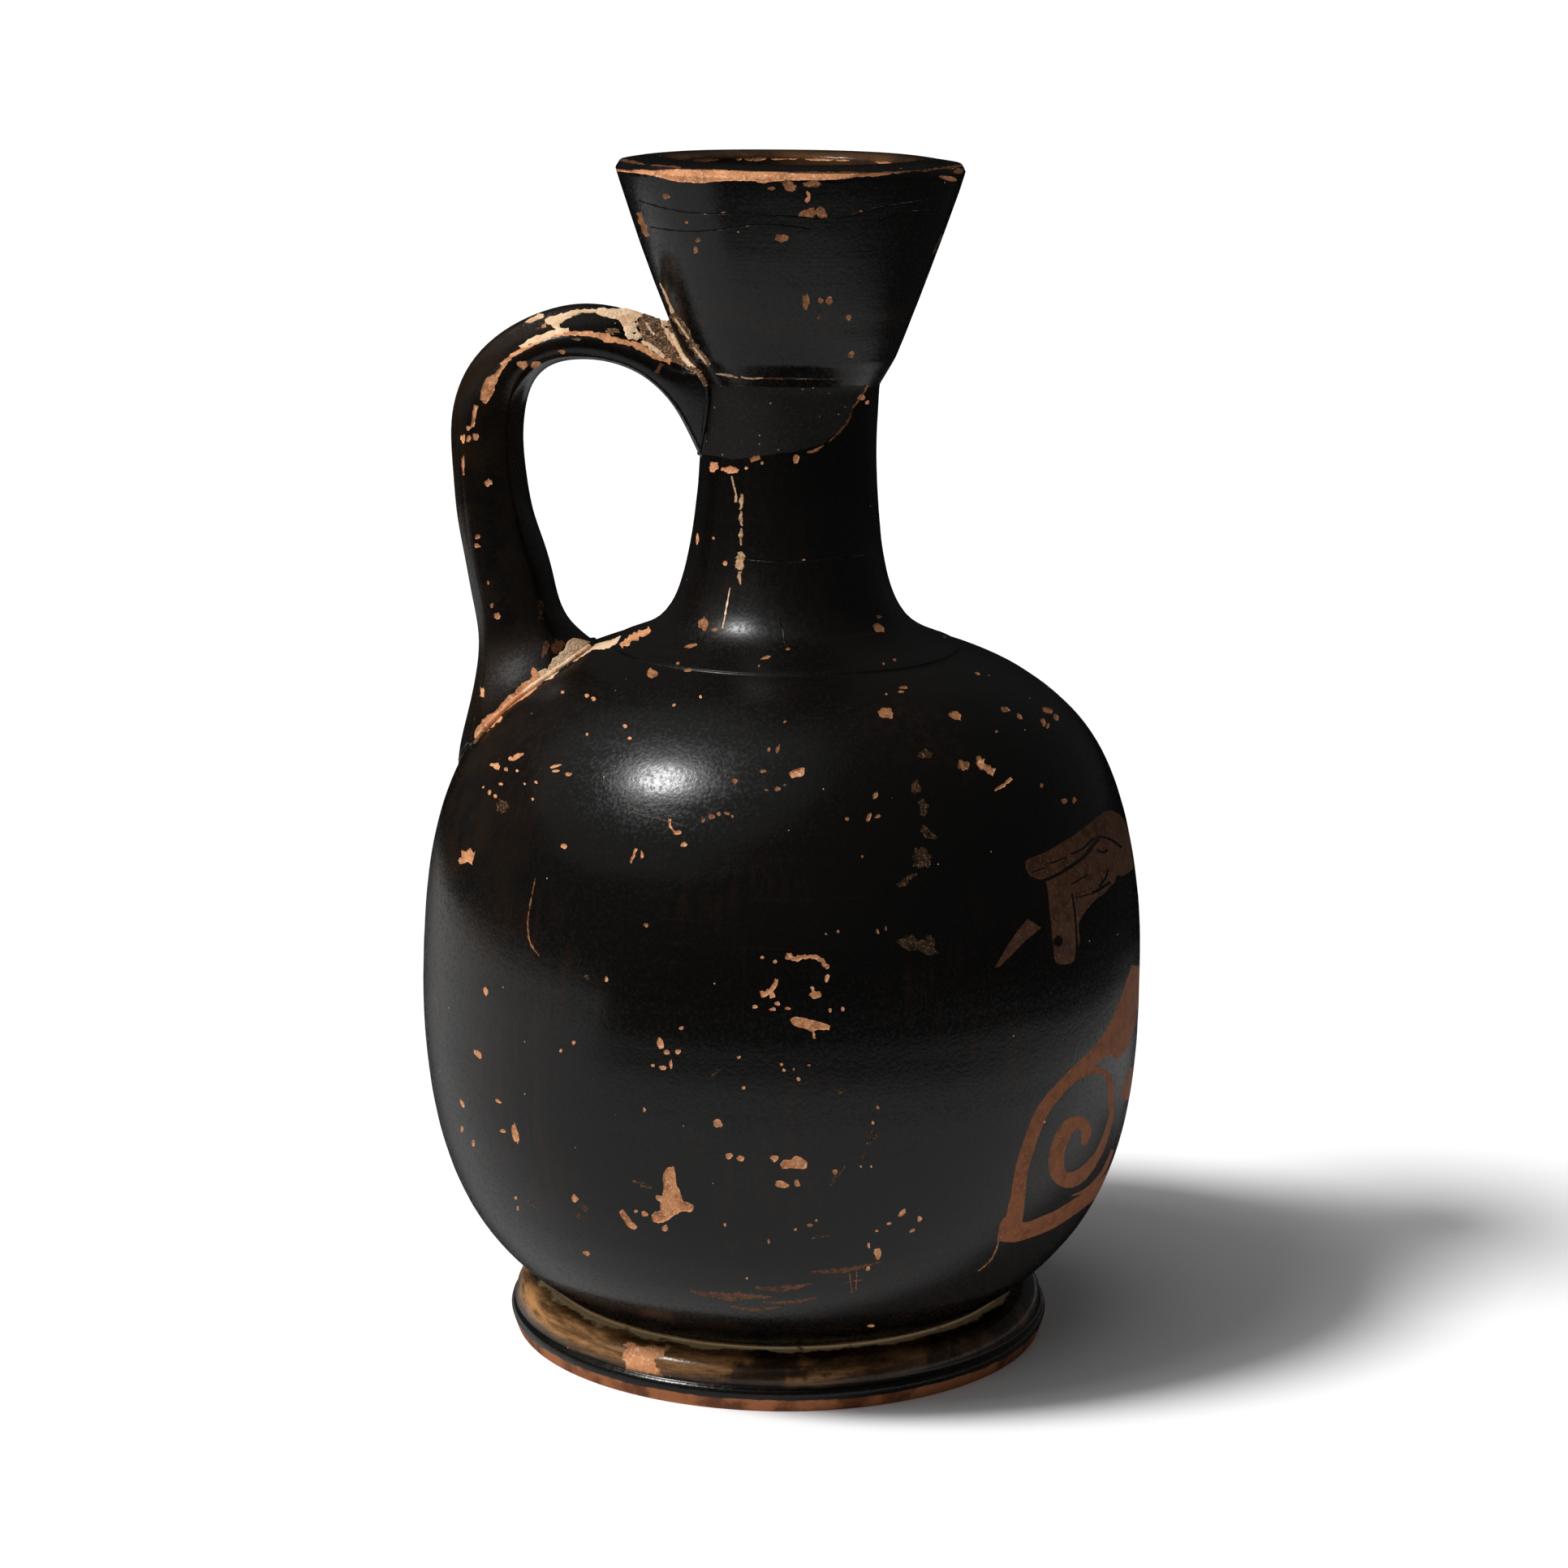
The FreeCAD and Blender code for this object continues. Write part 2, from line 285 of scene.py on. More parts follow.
def potPoint(turn, run, lift=0.0):
    # a point of the pot's skin in mm: turn goes from 0 to 1 from the handle round by the front of the
    # picture, and run is mm along the outline
    turn = (turn - 0.5) * math.tau
    place = placesAt(run, outlineRun, outlinePath)
    slope = placesAt(run, outlineRun, outlineSlope)
    low, high = skin["waveFade"]
    fade = np.clip((run - outlineMarks["foot"]) / low, 0, 1)
    fade = fade * np.clip((outlineMarks["funnel"] - run) / high, 0, 1)
    swell = sum(depth * np.sin(turns * turn + 2 * math.pi * run / length + phase)
                for turns, length, depth, phase in waves)
    shift = fade * (swell - skin["waveShift"]) + lift
    radius = place[..., 0] + slope[..., 1] * shift
    height = place[..., 1] - slope[..., 0] * shift
    return np.stack([radius * np.cos(turn), radius * np.sin(turn), height], -1)


def potNormal(turn, run):
    t, r = skin["normalStep"]
    byTurn = potPoint(turn + t, run) - potPoint(turn - t, run)
    byRun = potPoint(turn, run + r) - potPoint(turn, run - r)
    return unit(np.cross(byTurn, byRun))


def rowsOf(start, end, maxStep):
    # rows close together where the outline turns sharply
    heading = np.unwrap(np.arctan2(outlineSlope[:, 1], outlineSlope[:, 0]))
    turning = np.abs(np.gradient(heading, outlineRun))
    step = np.minimum(maxStep, skin["turnPerRow"] / np.maximum(turning, 1e-6))
    step = np.maximum(step, skin["leastStep"])
    inside = (outlineRun >= start) & (outlineRun <= end)
    runs, dense = outlineRun[inside], 1 / step[inside]
    count = np.concatenate([[0], np.cumsum((dense[1:] + dense[:-1]) / 2 * np.diff(runs))])
    total = max(1, math.ceil(count[-1]))
    rows = np.interp(np.linspace(0, count[-1], total + 1), count, runs)
    rows[0], rows[-1] = start, end
    return rows


camera = makeCamera(cameraView)
print("stage: camera and outline")


# Marks on the skin are outlines drawn in the picture, so each sits where the real one does.
finishNames = ["gloss", "clay", "reserve", "plaster", "brown", "oldClay", "matt", "dark", "crust", "rust",
               "pale"]
finishes = {name: number for number, name in enumerate(finishNames)}
rough = np.random.RandomState(7)


def outerSide(aboveLip):
    # the outline's heights, radii and runs from the foot to a little above the lip's edge
    inside = (outlineRun > outlineMarks["foot"]) & (outlineRun < outlineMarks["lip"] + aboveLip)
    heights = np.maximum.accumulate(outlinePath[inside, 1] + np.arange(inside.sum()) * 1e-9)
    return heights, outlinePath[inside, 0], outlineRun[inside]


def potHits(spots):
    # (turn, run) on the pot's outer skin for picture spots; a spot just off the edge takes the edge
    place, rays = pictureRays(camera, spots)
    heights, radii, runs = outerSide(1.5)

    def gapAt(reach):
        q = place + rays * reach[:, None]
        return np.hypot(q[:, 0], q[:, 1]) - np.interp(q[:, 2], heights, radii, left=0, right=0)

    steps = np.linspace(cameraView["nearest"], cameraView["farthest"], 641)
    gaps = np.stack([gapAt(np.full(len(rays), step)) for step in steps], 1)
    met = (gaps < 0).any(1)
    first = np.where(met, np.argmax(gaps < 0, axis=1), np.argmin(gaps, axis=1))
    near, far = steps[np.maximum(first - 1, 0)], steps[first]
    for _ in range(18):
        middle = (near + far) / 2
        below = gapAt(middle) < 0
        far, near = np.where(below, middle, far), np.where(below, near, middle)
    q = place + rays * np.where(met, far, steps[first])[:, None]
    return np.stack([np.arctan2(q[:, 1], q[:, 0]) / math.tau + 0.5, np.interp(q[:, 2], heights, runs)], 1)


def raggedLoop(points, amount, spacing):
    # a closed outline resampled to even steps, its points pushed about by hand-like wobble
    loop = np.array(list(points) + [points[0]], float)
    run = lengthsAlong(loop)
    count = max(7, int(run[-1] / spacing))
    even = placesAt(np.linspace(0, run[-1], count, endpoint=False), run, loop)
    return even + rough.normal(0, amount, even.shape)


def ellipse(x, y, width, height, tilt=0.0, ragged=0.2):
    # an uneven spot; tilt is clockwise in degrees, as on the picture
    count = int(np.clip(math.pi * (width + height) / 2 / 2.3, 7, 44))
    angles = np.arange(count) * 2 * math.pi / count
    lobes = sum(np.sin(k * angles + rough.uniform(0, math.tau)) / k ** 0.5 for k in (2, 3, 5))
    uneven = 1 + ragged * (0.8 * lobes.clip(-1.4, 1.4) + rough.normal(0, 0.5, count).clip(-1, 1))
    a, b = width / 2 * np.cos(angles) * uneven, height / 2 * np.sin(angles) * uneven
    c, s = math.cos(math.radians(tilt)), math.sin(math.radians(tilt))
    return np.stack([x + a * c - b * s, y + a * s + b * c], 1)


def strip(path, widths, ragged=0.6, spacing=4.0):
    # a long mark with its own width at each point of its path
    p = np.array(path, float)
    run = lengthsAlong(p)
    at = np.linspace(0, run[-1], max(4, int(run[-1] / spacing) + 1))
    line = naturalSpline(run, p, at) if len(p) > 2 else placesAt(at, run, p)
    half = np.interp(at, run, np.broadcast_to(widths, len(p))) / 2
    along = np.gradient(line, axis=0)
    side = unit(np.stack([-along[:, 1], along[:, 0]], 1))
    one, other = (half + rough.normal(0, ragged, len(at)).clip(-1, 1) * half / 2 for _ in range(2))
    return np.vstack([line + side * one[:, None], (line - side * other[:, None])[::-1]])


def mark(finish, spots, sink=0.0, inset=0.16):
    # spots is the outline as (turn, run); sink is how far the mark's floor lies under the skin in mm
    return {"finish": finish, "spots": np.asarray(spots, float), "sink": sink, "inset": inset}


def areaOf(loop):
    return 0.5 * np.sum(loop[:, 0] * np.roll(loop[:, 1], -1) - np.roll(loop[:, 0], -1) * loop[:, 1])


def insideLoop(places, loop):
    # which places lie inside a closed outline, also where it crosses itself
    found = np.zeros(len(places), bool)
    near = np.nonzero((places > loop.min(0)).all(1) & (places < loop.max(0)).all(1))[0]
    x, y = places[near, 0][:, None], places[near, 1][:, None]
    x1, y1 = loop.T
    x2, y2 = np.roll(loop, -1, axis=0).T
    side = (x2 - x1) * (y - y1) - (x - x1) * (y2 - y1)
    up, down = (y1 <= y) & (y2 > y) & (side > 0), (y1 > y) & (y2 <= y) & (side < 0)
    found[near] = up.sum(1) != down.sum(1)
    return found


def shrunk(loop, inset):
    # the outline moved inwards by about inset, in mm
    forward, back = np.roll(loop, -1, axis=0) - loop, loop - np.roll(loop, 1, axis=0)
    tangent = unit(unit(forward) + unit(back))
    inward = np.stack([-tangent[:, 1], tangent[:, 0]], 1)
    middle = loop.mean(0)
    depth = np.minimum(inset, 0.4 * np.linalg.norm(loop - middle, axis=1) + 0.01)
    return loop + inward * depth[:, None]


def fillBand(columnPlaces, rowPlaces, marks):
    # triangles over a band of the skin in flat mm, with every mark's outline cut into them.
    # Gives flat places, the grid corner that each is or -1, triangles, and each triangle's mark or -1
    columns, rows = len(columnPlaces), len(rowPlaces)
    flat = [(x, y) for y in rowPlaces for x in columnPlaces]
    loops, owners = [], []
    least = (columnPlaces[0] + 0.02, rowPlaces[0] + 0.03)
    most = (columnPlaces[-1] - 0.02, rowPlaces[-1] - 0.03)
    for number, m in enumerate(marks):
        loops.append(m["flat"])
        owners.append((number, False))
        if m["sink"]:
            loops.append(np.clip(shrunk(m["flat"], m["inset"]), least, most))
            owners.append((number, True))
    near = KDTree(sum(len(loop) for loop in loops) or 1)
    for k, place in enumerate(place for loop in loops for place in loop):
        near.insert((place[0], place[1], 0), k)
    near.balance()
    border = lambda k: k % columns in (0, columns - 1) or k // columns in (0, rows - 1)
    kept = [k for k in range(len(flat))
            if not loops or border(k) or near.find((flat[k][0], flat[k][1], 0))[2] > 0.3]
    corner = list(kept)
    places = [flat[k] for k in kept]
    at = {k: n for n, k in enumerate(kept)}
    edges = [(at[j * columns + i], at[j * columns + i + 1])
             for j in (0, rows - 1) for i in range(columns - 1)]
    edges += [(at[j * columns + i], at[(j + 1) * columns + i])
              for i in (0, columns - 1) for j in range(rows - 1)]
    for loop in loops:
        base, count = len(places), len(loop)
        edges += [(base + k, base + (k + 1) % count) for k in range(count)]
        places += [tuple(p) for p in loop]
        corner += [-1] * count
    cut = delaunay_2d_cdt([Vector(p) for p in places], edges, [], 0, 1e-5, True)
    spots = np.array([tuple(v) for v in cut[0]])
    grid = np.array([next((corner[k] for k in source if k < len(kept)), -1) for source in cut[3]])
    for k in np.nonzero(grid >= 0)[0]:
        spots[k] = flat[grid[k]]
    tris = np.array([tuple(f) for f in cut[2]])
    middles = spots[tris].mean(1)
    owner, floor = np.full(len(tris), -1), np.zeros(len(tris), bool)
    for (number, low), loop in zip(owners, loops):
        within = insideLoop(middles, loop)
        if not low:
            owner[within], floor[within] = number, False
        floor |= within & low
    return spots, grid, tris, owner, floor


def marksWithin(marks, start, end, width):
    # the marks that lie between two runs, cut off there and laid out flat in mm
    found = []
    for m in marks:
        turn = m["spots"][:, 0]
        if np.ptp(turn) > 0.6:
            turn = np.where(turn > 0.7, 0, turn)
        turn = np.clip(turn, 0.002, 0.998)
        flat = np.stack([turn * width, np.clip(m["spots"][:, 1], start + 0.03, end - 0.03)], 1)
        if np.ptp(flat[:, 1]) < 0.08 or abs(areaOf(flat)) < 0.01:
            continue
        found.append({**m, "flat": flat if areaOf(flat) > 0 else flat[::-1]})
    return found


def plainRow(j, columns, rows):
    # the triangles of a row without marks; the first and the last row close on one point
    a = j * columns + np.arange(columns)
    b = j * columns + (np.arange(columns) + 1) % columns
    if j == 0:
        return [np.stack([np.full(columns, a[0]), b + columns, a + columns], 1)]
    if j == rows - 2:
        return [np.stack([a, b, np.full(columns, (rows - 1) * columns)], 1)]
    return [np.stack([a, b, b + columns], 1), np.stack([a, b + columns, a + columns], 1)]


def floorNormals(points, faces, sunk):
    # the normals of the marks' sunk floors, shared where their triangles meet
    own = np.zeros((len(points), 3))
    direct = np.cross(points[faces[:, 1]] - points[faces[:, 0]], points[faces[:, 2]] - points[faces[:, 0]])
    for k in range(3):
        np.add.at(own, faces[sunk, k], direct[sunk])
    return unit(own)[faces[sunk]]


def layCloth(columns, rowRuns, spread, bands, marks, pointAt, normalAt, bareAt):
    # a closed skin over a grid of columns round and rows along, with the marked bands cut finely.
    # bands gives (first row, last row), spread gives a band's flat mm for one whole turn, and
    # bareAt says which runs along the outline have no gloss
    rows = len(rowRuns)
    turns = np.arange(columns) / columns
    where = np.array([(turn, run) for run in rowRuns for turn in turns])
    faces, owners, lift = [], [], {}
    plain = np.ones(rows - 1, bool)
    extra, marksOf = [], []
    for first, last in bands:
        plain[first:last] = False
        width = spread(rowRuns[first], rowRuns[last])
        inBand = marksWithin(marks, rowRuns[first], rowRuns[last], width)
        spots, grid, tris, owner, floor = fillBand(
            np.arange(columns + 1) / columns * width, rowRuns[first:last + 1], inBand)
        index = np.empty(len(spots), int)
        for k, (spot, corner) in enumerate(zip(spots, grid)):
            if corner >= 0:
                index[k] = (first + corner // (columns + 1)) * columns + corner % (columns + 1) % columns
            else:
                index[k] = len(where) + len(extra)
                extra.append((spot[0] / width, spot[1]))
        tris = index[tris]
        base = len(marksOf)
        marksOf += inBand
        for tri, own, low in zip(tris, owner, floor):
            if own >= 0 and low:
                for v in tri:
                    lift[v] = -inBand[own]["sink"]
        faces.append(tris)
        owners.append(np.where(owner >= 0, owner + base, -1))
    for j in np.nonzero(plain)[0]:
        faces += plainRow(j, columns, rows)
        owners += [np.full(len(f), -1) for f in faces[len(owners):]]
    if extra:
        where = np.vstack([where, extra])
    faces, owners = np.vstack(faces), np.concatenate(owners)
    lifts = np.zeros(len(where))
    lifts[list(lift)] = list(lift.values())
    lifts[list(lift)] *= rough.uniform(0.8, 1.15, len(lift))
    points = pointAt(where[:, 0], where[:, 1], lifts)
    normals = normalAt(where[:, 0], where[:, 1])[faces]
    finish = np.where(bareAt(where[faces, 1].mean(1)), finishes["clay"], finishes["gloss"])
    for k, m in enumerate(marksOf):
        finish[owners == k] = finishes[m["finish"]]
    sunk = np.array([m["sink"] != 0 for m in marksOf] + [False])[owners]
    normals[sunk] = floorNormals(points, faces, sunk)
    used, again = np.unique(faces, return_inverse=True)
    return points[used], again.reshape(-1, 3), normals, finish


def meshObject(name, points, faces, normals, finish):
    # points in mm; the finish and the wanted normals go along as attributes through the joining
    data = bpy.data.meshes.new(name)
    data.from_pydata((points * mm).tolist(), [], faces.tolist())
    data.attributes.new("finish", "INT", "FACE").data.foreach_set("value", finish.astype(np.int32))
    held = data.attributes.new("heldNormal", "FLOAT_VECTOR", "CORNER")
    held.data.foreach_set("vector", normals.reshape(-1).astype(np.float32))
    thing = bpy.data.objects.new(name, data)
    bpy.context.scene.collection.objects.link(thing)
    return thing


def combine(thing, others, operation):
    for other in others:
        step = thing.modifiers.new("combine", "BOOLEAN")
        step.object, step.operation, step.solver = other, operation, "MANIFOLD"
        shape = thing.evaluated_get(bpy.context.evaluated_depsgraph_get())
        data = bpy.data.meshes.new_from_object(shape)
        thing.modifiers.clear()
        thing.data = data
        bpy.data.objects.remove(other)
    return thing


def settleNormals(thing):
    data = thing.data
    held = np.empty(len(data.loops) * 3, np.float32)
    data.attributes["heldNormal"].data.foreach_get("vector", held)
    data.shade_smooth()
    data.normals_split_custom_set(held.reshape(-1, 3).tolist())
    data.attributes.remove(data.attributes["heldNormal"])


# The strap handle
strap = {
    "reach": 45.5, "thickness": 9.8, "halfWidth": 6.2, "rootTurn": 0.76,
    "crestRise": 0.25, "crestShare": 0.22, "fluteDepth": 0.12, "sideSwell": 0.1,
    "edgeSoftness": 0.3,      # mm, how softly the ridges are worn
    "columns": 60, "rowStep": 0.95, "rings": 320, "around": 360,
    "wobbleShift": 0.05,      # mm inwards, as the waves of the hand-pulled strap push outwards
    # out from the neck to the grip, up from the root to the neck's top, lean in degrees, then shares:
    # thickness, half width below, half width at the edge ridges, rise of the middle ridge, hollow below
    "stations": [
        (-0.13, 0.88, 93, 2.45, 0.48, 1.22, 0.40, 0.20),
        (0.035, 0.99, 90, 1.45, 0.72, 1.17, 0.50, 0.16),
        (0.19, 1.09, 89, 0.92, 0.90, 1.08, 0.46, 0.08),
        (0.37, 1.14, 86, 0.78, 0.92, 1.03, 0.39, 0.08),
        (0.59, 1.15, 73, 0.755, 0.92, 1.00, 0.35, 0.08),
        (0.815, 1.09, 45, 0.775, 0.92, 1.00, 0.35, 0.10),
        (0.955, 0.975, 20, 0.91, 0.92, 1.00, 0.33, 0.12),
        (1.00, 0.755, 0, 1.00, 0.92, 1.00, 0.25, 0.13),
        (0.955, 0.505, -11, 1.05, 0.93, 1.02, 0.23, 0.13),
        (0.88, 0.29, -16.5, 1.17, 0.97, 1.06, 0.22, 0.16),
        (0.83, 0.125, -20.5, 1.37, 1.13, 1.18, 0.22, 0.22),
        (0.78, 0.01, -23.5, 1.92, 1.55, 1.60, 0.30, 0.50),
        (0.79, -0.14, -28.5, 2.34, 1.75, 1.75, 0.40, 0.60),
        (0.80, -0.28, -31, 2.20, 1.75, 1.75, 0.40, 0.60),
    ],
}


def arcThrough(start, middle, end, count):
    (ax, ay), (bx, by), (cx, cy) = start, middle, end
    d = 2 * (ax * (by - cy) + bx * (cy - ay) + cx * (ay - by))
    if abs(d) < 1e-9:
        return straight(start, end, count)
    a, b, c = ax * ax + ay * ay, bx * bx + by * by, cx * cx + cy * cy
    x = (a * (by - cy) + b * (cy - ay) + c * (ay - by)) / d
    y = (a * (cx - bx) + b * (ax - cx) + c * (bx - ax)) / d
    first, last = math.atan2(ay - y, ax - x), math.atan2(cy - y, cx - x)
    halfway, whole = (math.atan2(by - y, bx - x) - first) % math.tau, (last - first) % math.tau
    if halfway > whole:
        whole -= math.tau
    radius = math.hypot(ax - x, ay - y)
    angles = [first + whole * k / count for k in range(count + 1)]
    return [(x + radius * math.cos(angle), y + radius * math.sin(angle)) for angle in angles]


def strapSection(thickness, under, edge, ridge, belly):
    # the cross-section as even points of (out, across), from the middle of the far side round
    crest, crestHalf = thickness - strap["crestRise"], strap["crestShare"] * edge
    shelf, side = thickness - ridge, (under + edge) / 2 * (1 + strap["sideSwell"])
    flute = ((shelf + crest) / 2 - strap["fluteDepth"] * ridge, (edge + crestHalf) / 2)
    low, high, top = (belly, under), (shelf, edge), (crest, crestHalf)
    sideMiddle = ((belly + shelf) / 2, side)
    flip = lambda p: (p[0], -p[1])
    path = arcThrough(flip(low), (0, 0), low, 80)
    path += arcThrough(low, sideMiddle, high, 60)[1:] + arcThrough(high, flute, top, 60)[1:]
    path += arcThrough(top, (thickness, 0), flip(top), 40)[1:]
    path += arcThrough(flip(top), flip(flute), flip(high), 60)[1:]
    path += arcThrough(flip(high), flip(sideMiddle), flip(low), 60)[1:]
    p = np.array(path)
    run = lengthsAlong(p)
    around = strap["around"]
    # the points start at the middle of a side
    at = (run[110] + np.linspace(0, run[-1], around, endpoint=False)) % run[-1]
    even = placesAt(at, run, p)
    width = strap["edgeSoftness"] / (run[-1] / around)
    away = np.arange(around)
    away = np.minimum(away, around - away)
    kernel = np.exp(-0.5 * (away / width) ** 2)
    kernel /= kernel.sum()
    soft = np.stack([np.fft.irfft(np.fft.rfft(even[:, k]) * np.fft.rfft(kernel), around) for k in (0, 1)], 1)
    return np.roll(soft[::-1], 1, axis=0)


def strapGrid():
    # dense points of the handle: rings along it, points round each, and the length at each ring
    s, rings = strap, strap["rings"]
    grip = s["reach"] - s["thickness"] / 2
    neckTop = pot["shoulderHeight"] + pot["neckLength"]
    widest = (pot["bodyRadius"], pot["bellyHeight"])
    shoulder = upperBody(widest, (pot["shoulderRadius"], pot["shoulderHeight"]))
    root = shoulder[round(s["rootTurn"] * (len(shoulder) - 1))]
    rows = np.array(s["stations"])
    centres = np.stack([-mix(pot["neckRadius"], grip, rows[:, 0]), mix(root[1], neckTop, rows[:, 1])], 1)
    knots = lengthsAlong(centres)
    at = np.linspace(0, knots[-1], rings)
    values = naturalSpline(knots, np.hstack([centres, rows[:, 2:]]), at)
    grid = np.empty((rings, s["around"], 3))
    for k, (x, z, lean, thickness, under, edge, ridge, belly) in enumerate(values):
        section = strapSection(thickness * s["thickness"], under * s["halfWidth"], edge * s["halfWidth"],
                               ridge * s["thickness"], belly * s["thickness"])
        depth = section[:, 0] - thickness * s["thickness"] / 2
        lean = math.radians(lean)
        grid[k] = np.stack([x - math.cos(lean) * depth, section[:, 1], z + math.sin(lean) * depth], 1)
    return grid, at


strapPoints, strapRuns = strapGrid()
wrapped = np.concatenate([strapPoints[:, -1:], strapPoints, strapPoints[:, :1]], 1)
strapNormals = unit(np.cross(wrapped[:, 2:] - wrapped[:, :-2], np.gradient(strapPoints, axis=0)))
strapCoarse = strapPoints[::2, ::3]
strapQuads = strapCoarse.shape[1]
strapTree = BVHTree.FromPolygons(
    [tuple(p) for p in strapCoarse.reshape(-1, 3)],
    [(j * strapQuads + i, j * strapQuads + (i + 1) % strapQuads,
      (j + 1) * strapQuads + (i + 1) % strapQuads, (j + 1) * strapQuads + i)
     for j in range(len(strapCoarse) - 1) for i in range(strapQuads)])


def onStrap(table, turn, run):
    rings, around = table.shape[:2]
    a = (np.asarray(turn) % 1.0) * around
    b = np.clip(np.asarray(run) / strapRuns[-1] * (rings - 1), 0, rings - 1.000001)
    i, j = np.floor(a).astype(int) % around, np.floor(b).astype(int)
    u, v = (a - np.floor(a))[:, None], (b - j)[:, None]
    low = table[j, i] * (1 - u) + table[j, (i + 1) % around] * u
    high = table[j + 1, i] * (1 - u) + table[j + 1, (i + 1) % around] * u
    return low * (1 - v) + high * v


def strapPoint(turn, run, lift):
    wobble = 0.05 * np.sin(run / 3.1 + 1.3) + 0.04 * np.sin(run / 1.7 + 6 * math.pi * turn)
    out = (lift + wobble - strap["wobbleShift"])[:, None]
    return onStrap(strapPoints, turn, run) + onStrap(strapNormals, turn, run) * out


def strapNormal(turn, run):
    return unit(onStrap(strapNormals, turn, run))


def strapHits(spots):
    # (turn, run) on the handle for picture spots; a spot that misses it takes the nearest place
    around = strapPoints.shape[1]
    place, rays = pictureRays(camera, spots)
    found = []
    for ray in rays:
        spot, _, face, _ = strapTree.ray_cast(Vector(place), Vector(ray))
        if spot is None:
            reaches = range(cameraView["nearest"], cameraView["farthest"], 4)
            tries = [strapTree.find_nearest(Vector(place + ray * reach)) for reach in reaches]
            spot, _, face, _ = min(tries, key=lambda t: t[3])
        j, i = divmod(face, strapQuads)
        window = strapPoints[2 * j:2 * j + 3][:, (3 * i + np.arange(4)) % around]
        gap = np.linalg.norm(window - np.array(spot), axis=2)
        dj, di = np.unravel_index(np.argmin(gap), gap.shape)
        found.append((((3 * i + di) % around) / around, strapRuns[min(2 * j + dj, len(strapRuns) - 1)]))
    return np.array(found)


def ringSolid(name, outline, columns):
    # a plain turned solid from (radius, height) points that start and end on the axis
    inner = outline[1:-1]
    angles = np.arange(columns) * math.tau / columns
    points = [(0, 0, outline[0][1])]
    points += [(r * math.cos(a), r * math.sin(a), z) for r, z in inner for a in angles]
    points.append((0, 0, outline[-1][1]))
    ringAt = lambda j, i: 1 + j * columns + i % columns
    faces = []
    for i in range(columns):
        faces.append((0, ringAt(0, i + 1), ringAt(0, i)))
        for j in range(len(inner) - 1):
            faces.append((ringAt(j, i), ringAt(j, i + 1), ringAt(j + 1, i + 1)))
            faces.append((ringAt(j, i), ringAt(j + 1, i + 1), ringAt(j + 1, i)))
        faces.append((ringAt(len(inner) - 1, i), ringAt(len(inner) - 1, i + 1), len(points) - 1))
    faces = np.array(faces)
    return meshObject(name, np.array(points), faces, np.zeros((len(faces), 3, 3)), np.zeros(len(faces), int))


def hollowSpace():
    # the pot's hollow a little enlarged, which the handle's ends are kept out of
    inside = outlineRun > outlineMarks["funnel"]
    path = outlinePath[inside][::-40]
    outward = np.stack([outlineSlope[inside][::-40, 1], -outlineSlope[inside][::-40, 0]], 1)
    grown = path - outward * 1.0
    grown = grown[grown[:, 0] > 0.5]
    return ringSolid("hollowSpace", [(0, grown[0][1])] + [tuple(q) for q in grown] + [(0, grown[-1][1])], 96)


# The joins of the handle, in mm; the rings are those of the handle between which it runs into the pot
joints = {
    "lowerRadius": 0.4, "upperRadius": 0.38, "tailRadius": 0.2, "tailBelow": 124.0, "beadStep": 0.7,
    "fillFrom": -0.5, "glossBehind": -2.5, "creamEnd": -33.8, "clayEnd": -40.5, "fadeLength": 3.0,
    "thinnest": 0.15,
    "crustAbove": 130.5, "plasterHeights": (133, 137), "lowerRings": (240, 319), "upperRings": (160, 0),
}


def meetingLine(start, stop):
    # where the handle runs into the pot, going from ring start towards ring stop, for each point round
    heights, radii, _ = outerSide(1)
    out = np.hypot(strapPoints[..., 0], strapPoints[..., 1]) - np.interp(strapPoints[..., 2], heights, radii)
    step = 1 if stop > start else -1
    line = []
    for k in range(0, strap["around"], 6):
        for j in range(start, stop, step):
            if out[j, k] > 0 >= out[j + step, k]:
                share = out[j, k] / (out[j, k] - out[j + step, k])
                line.append(mix(strapPoints[j, k], strapPoints[j + step, k], share))
                break
    return np.array(line)


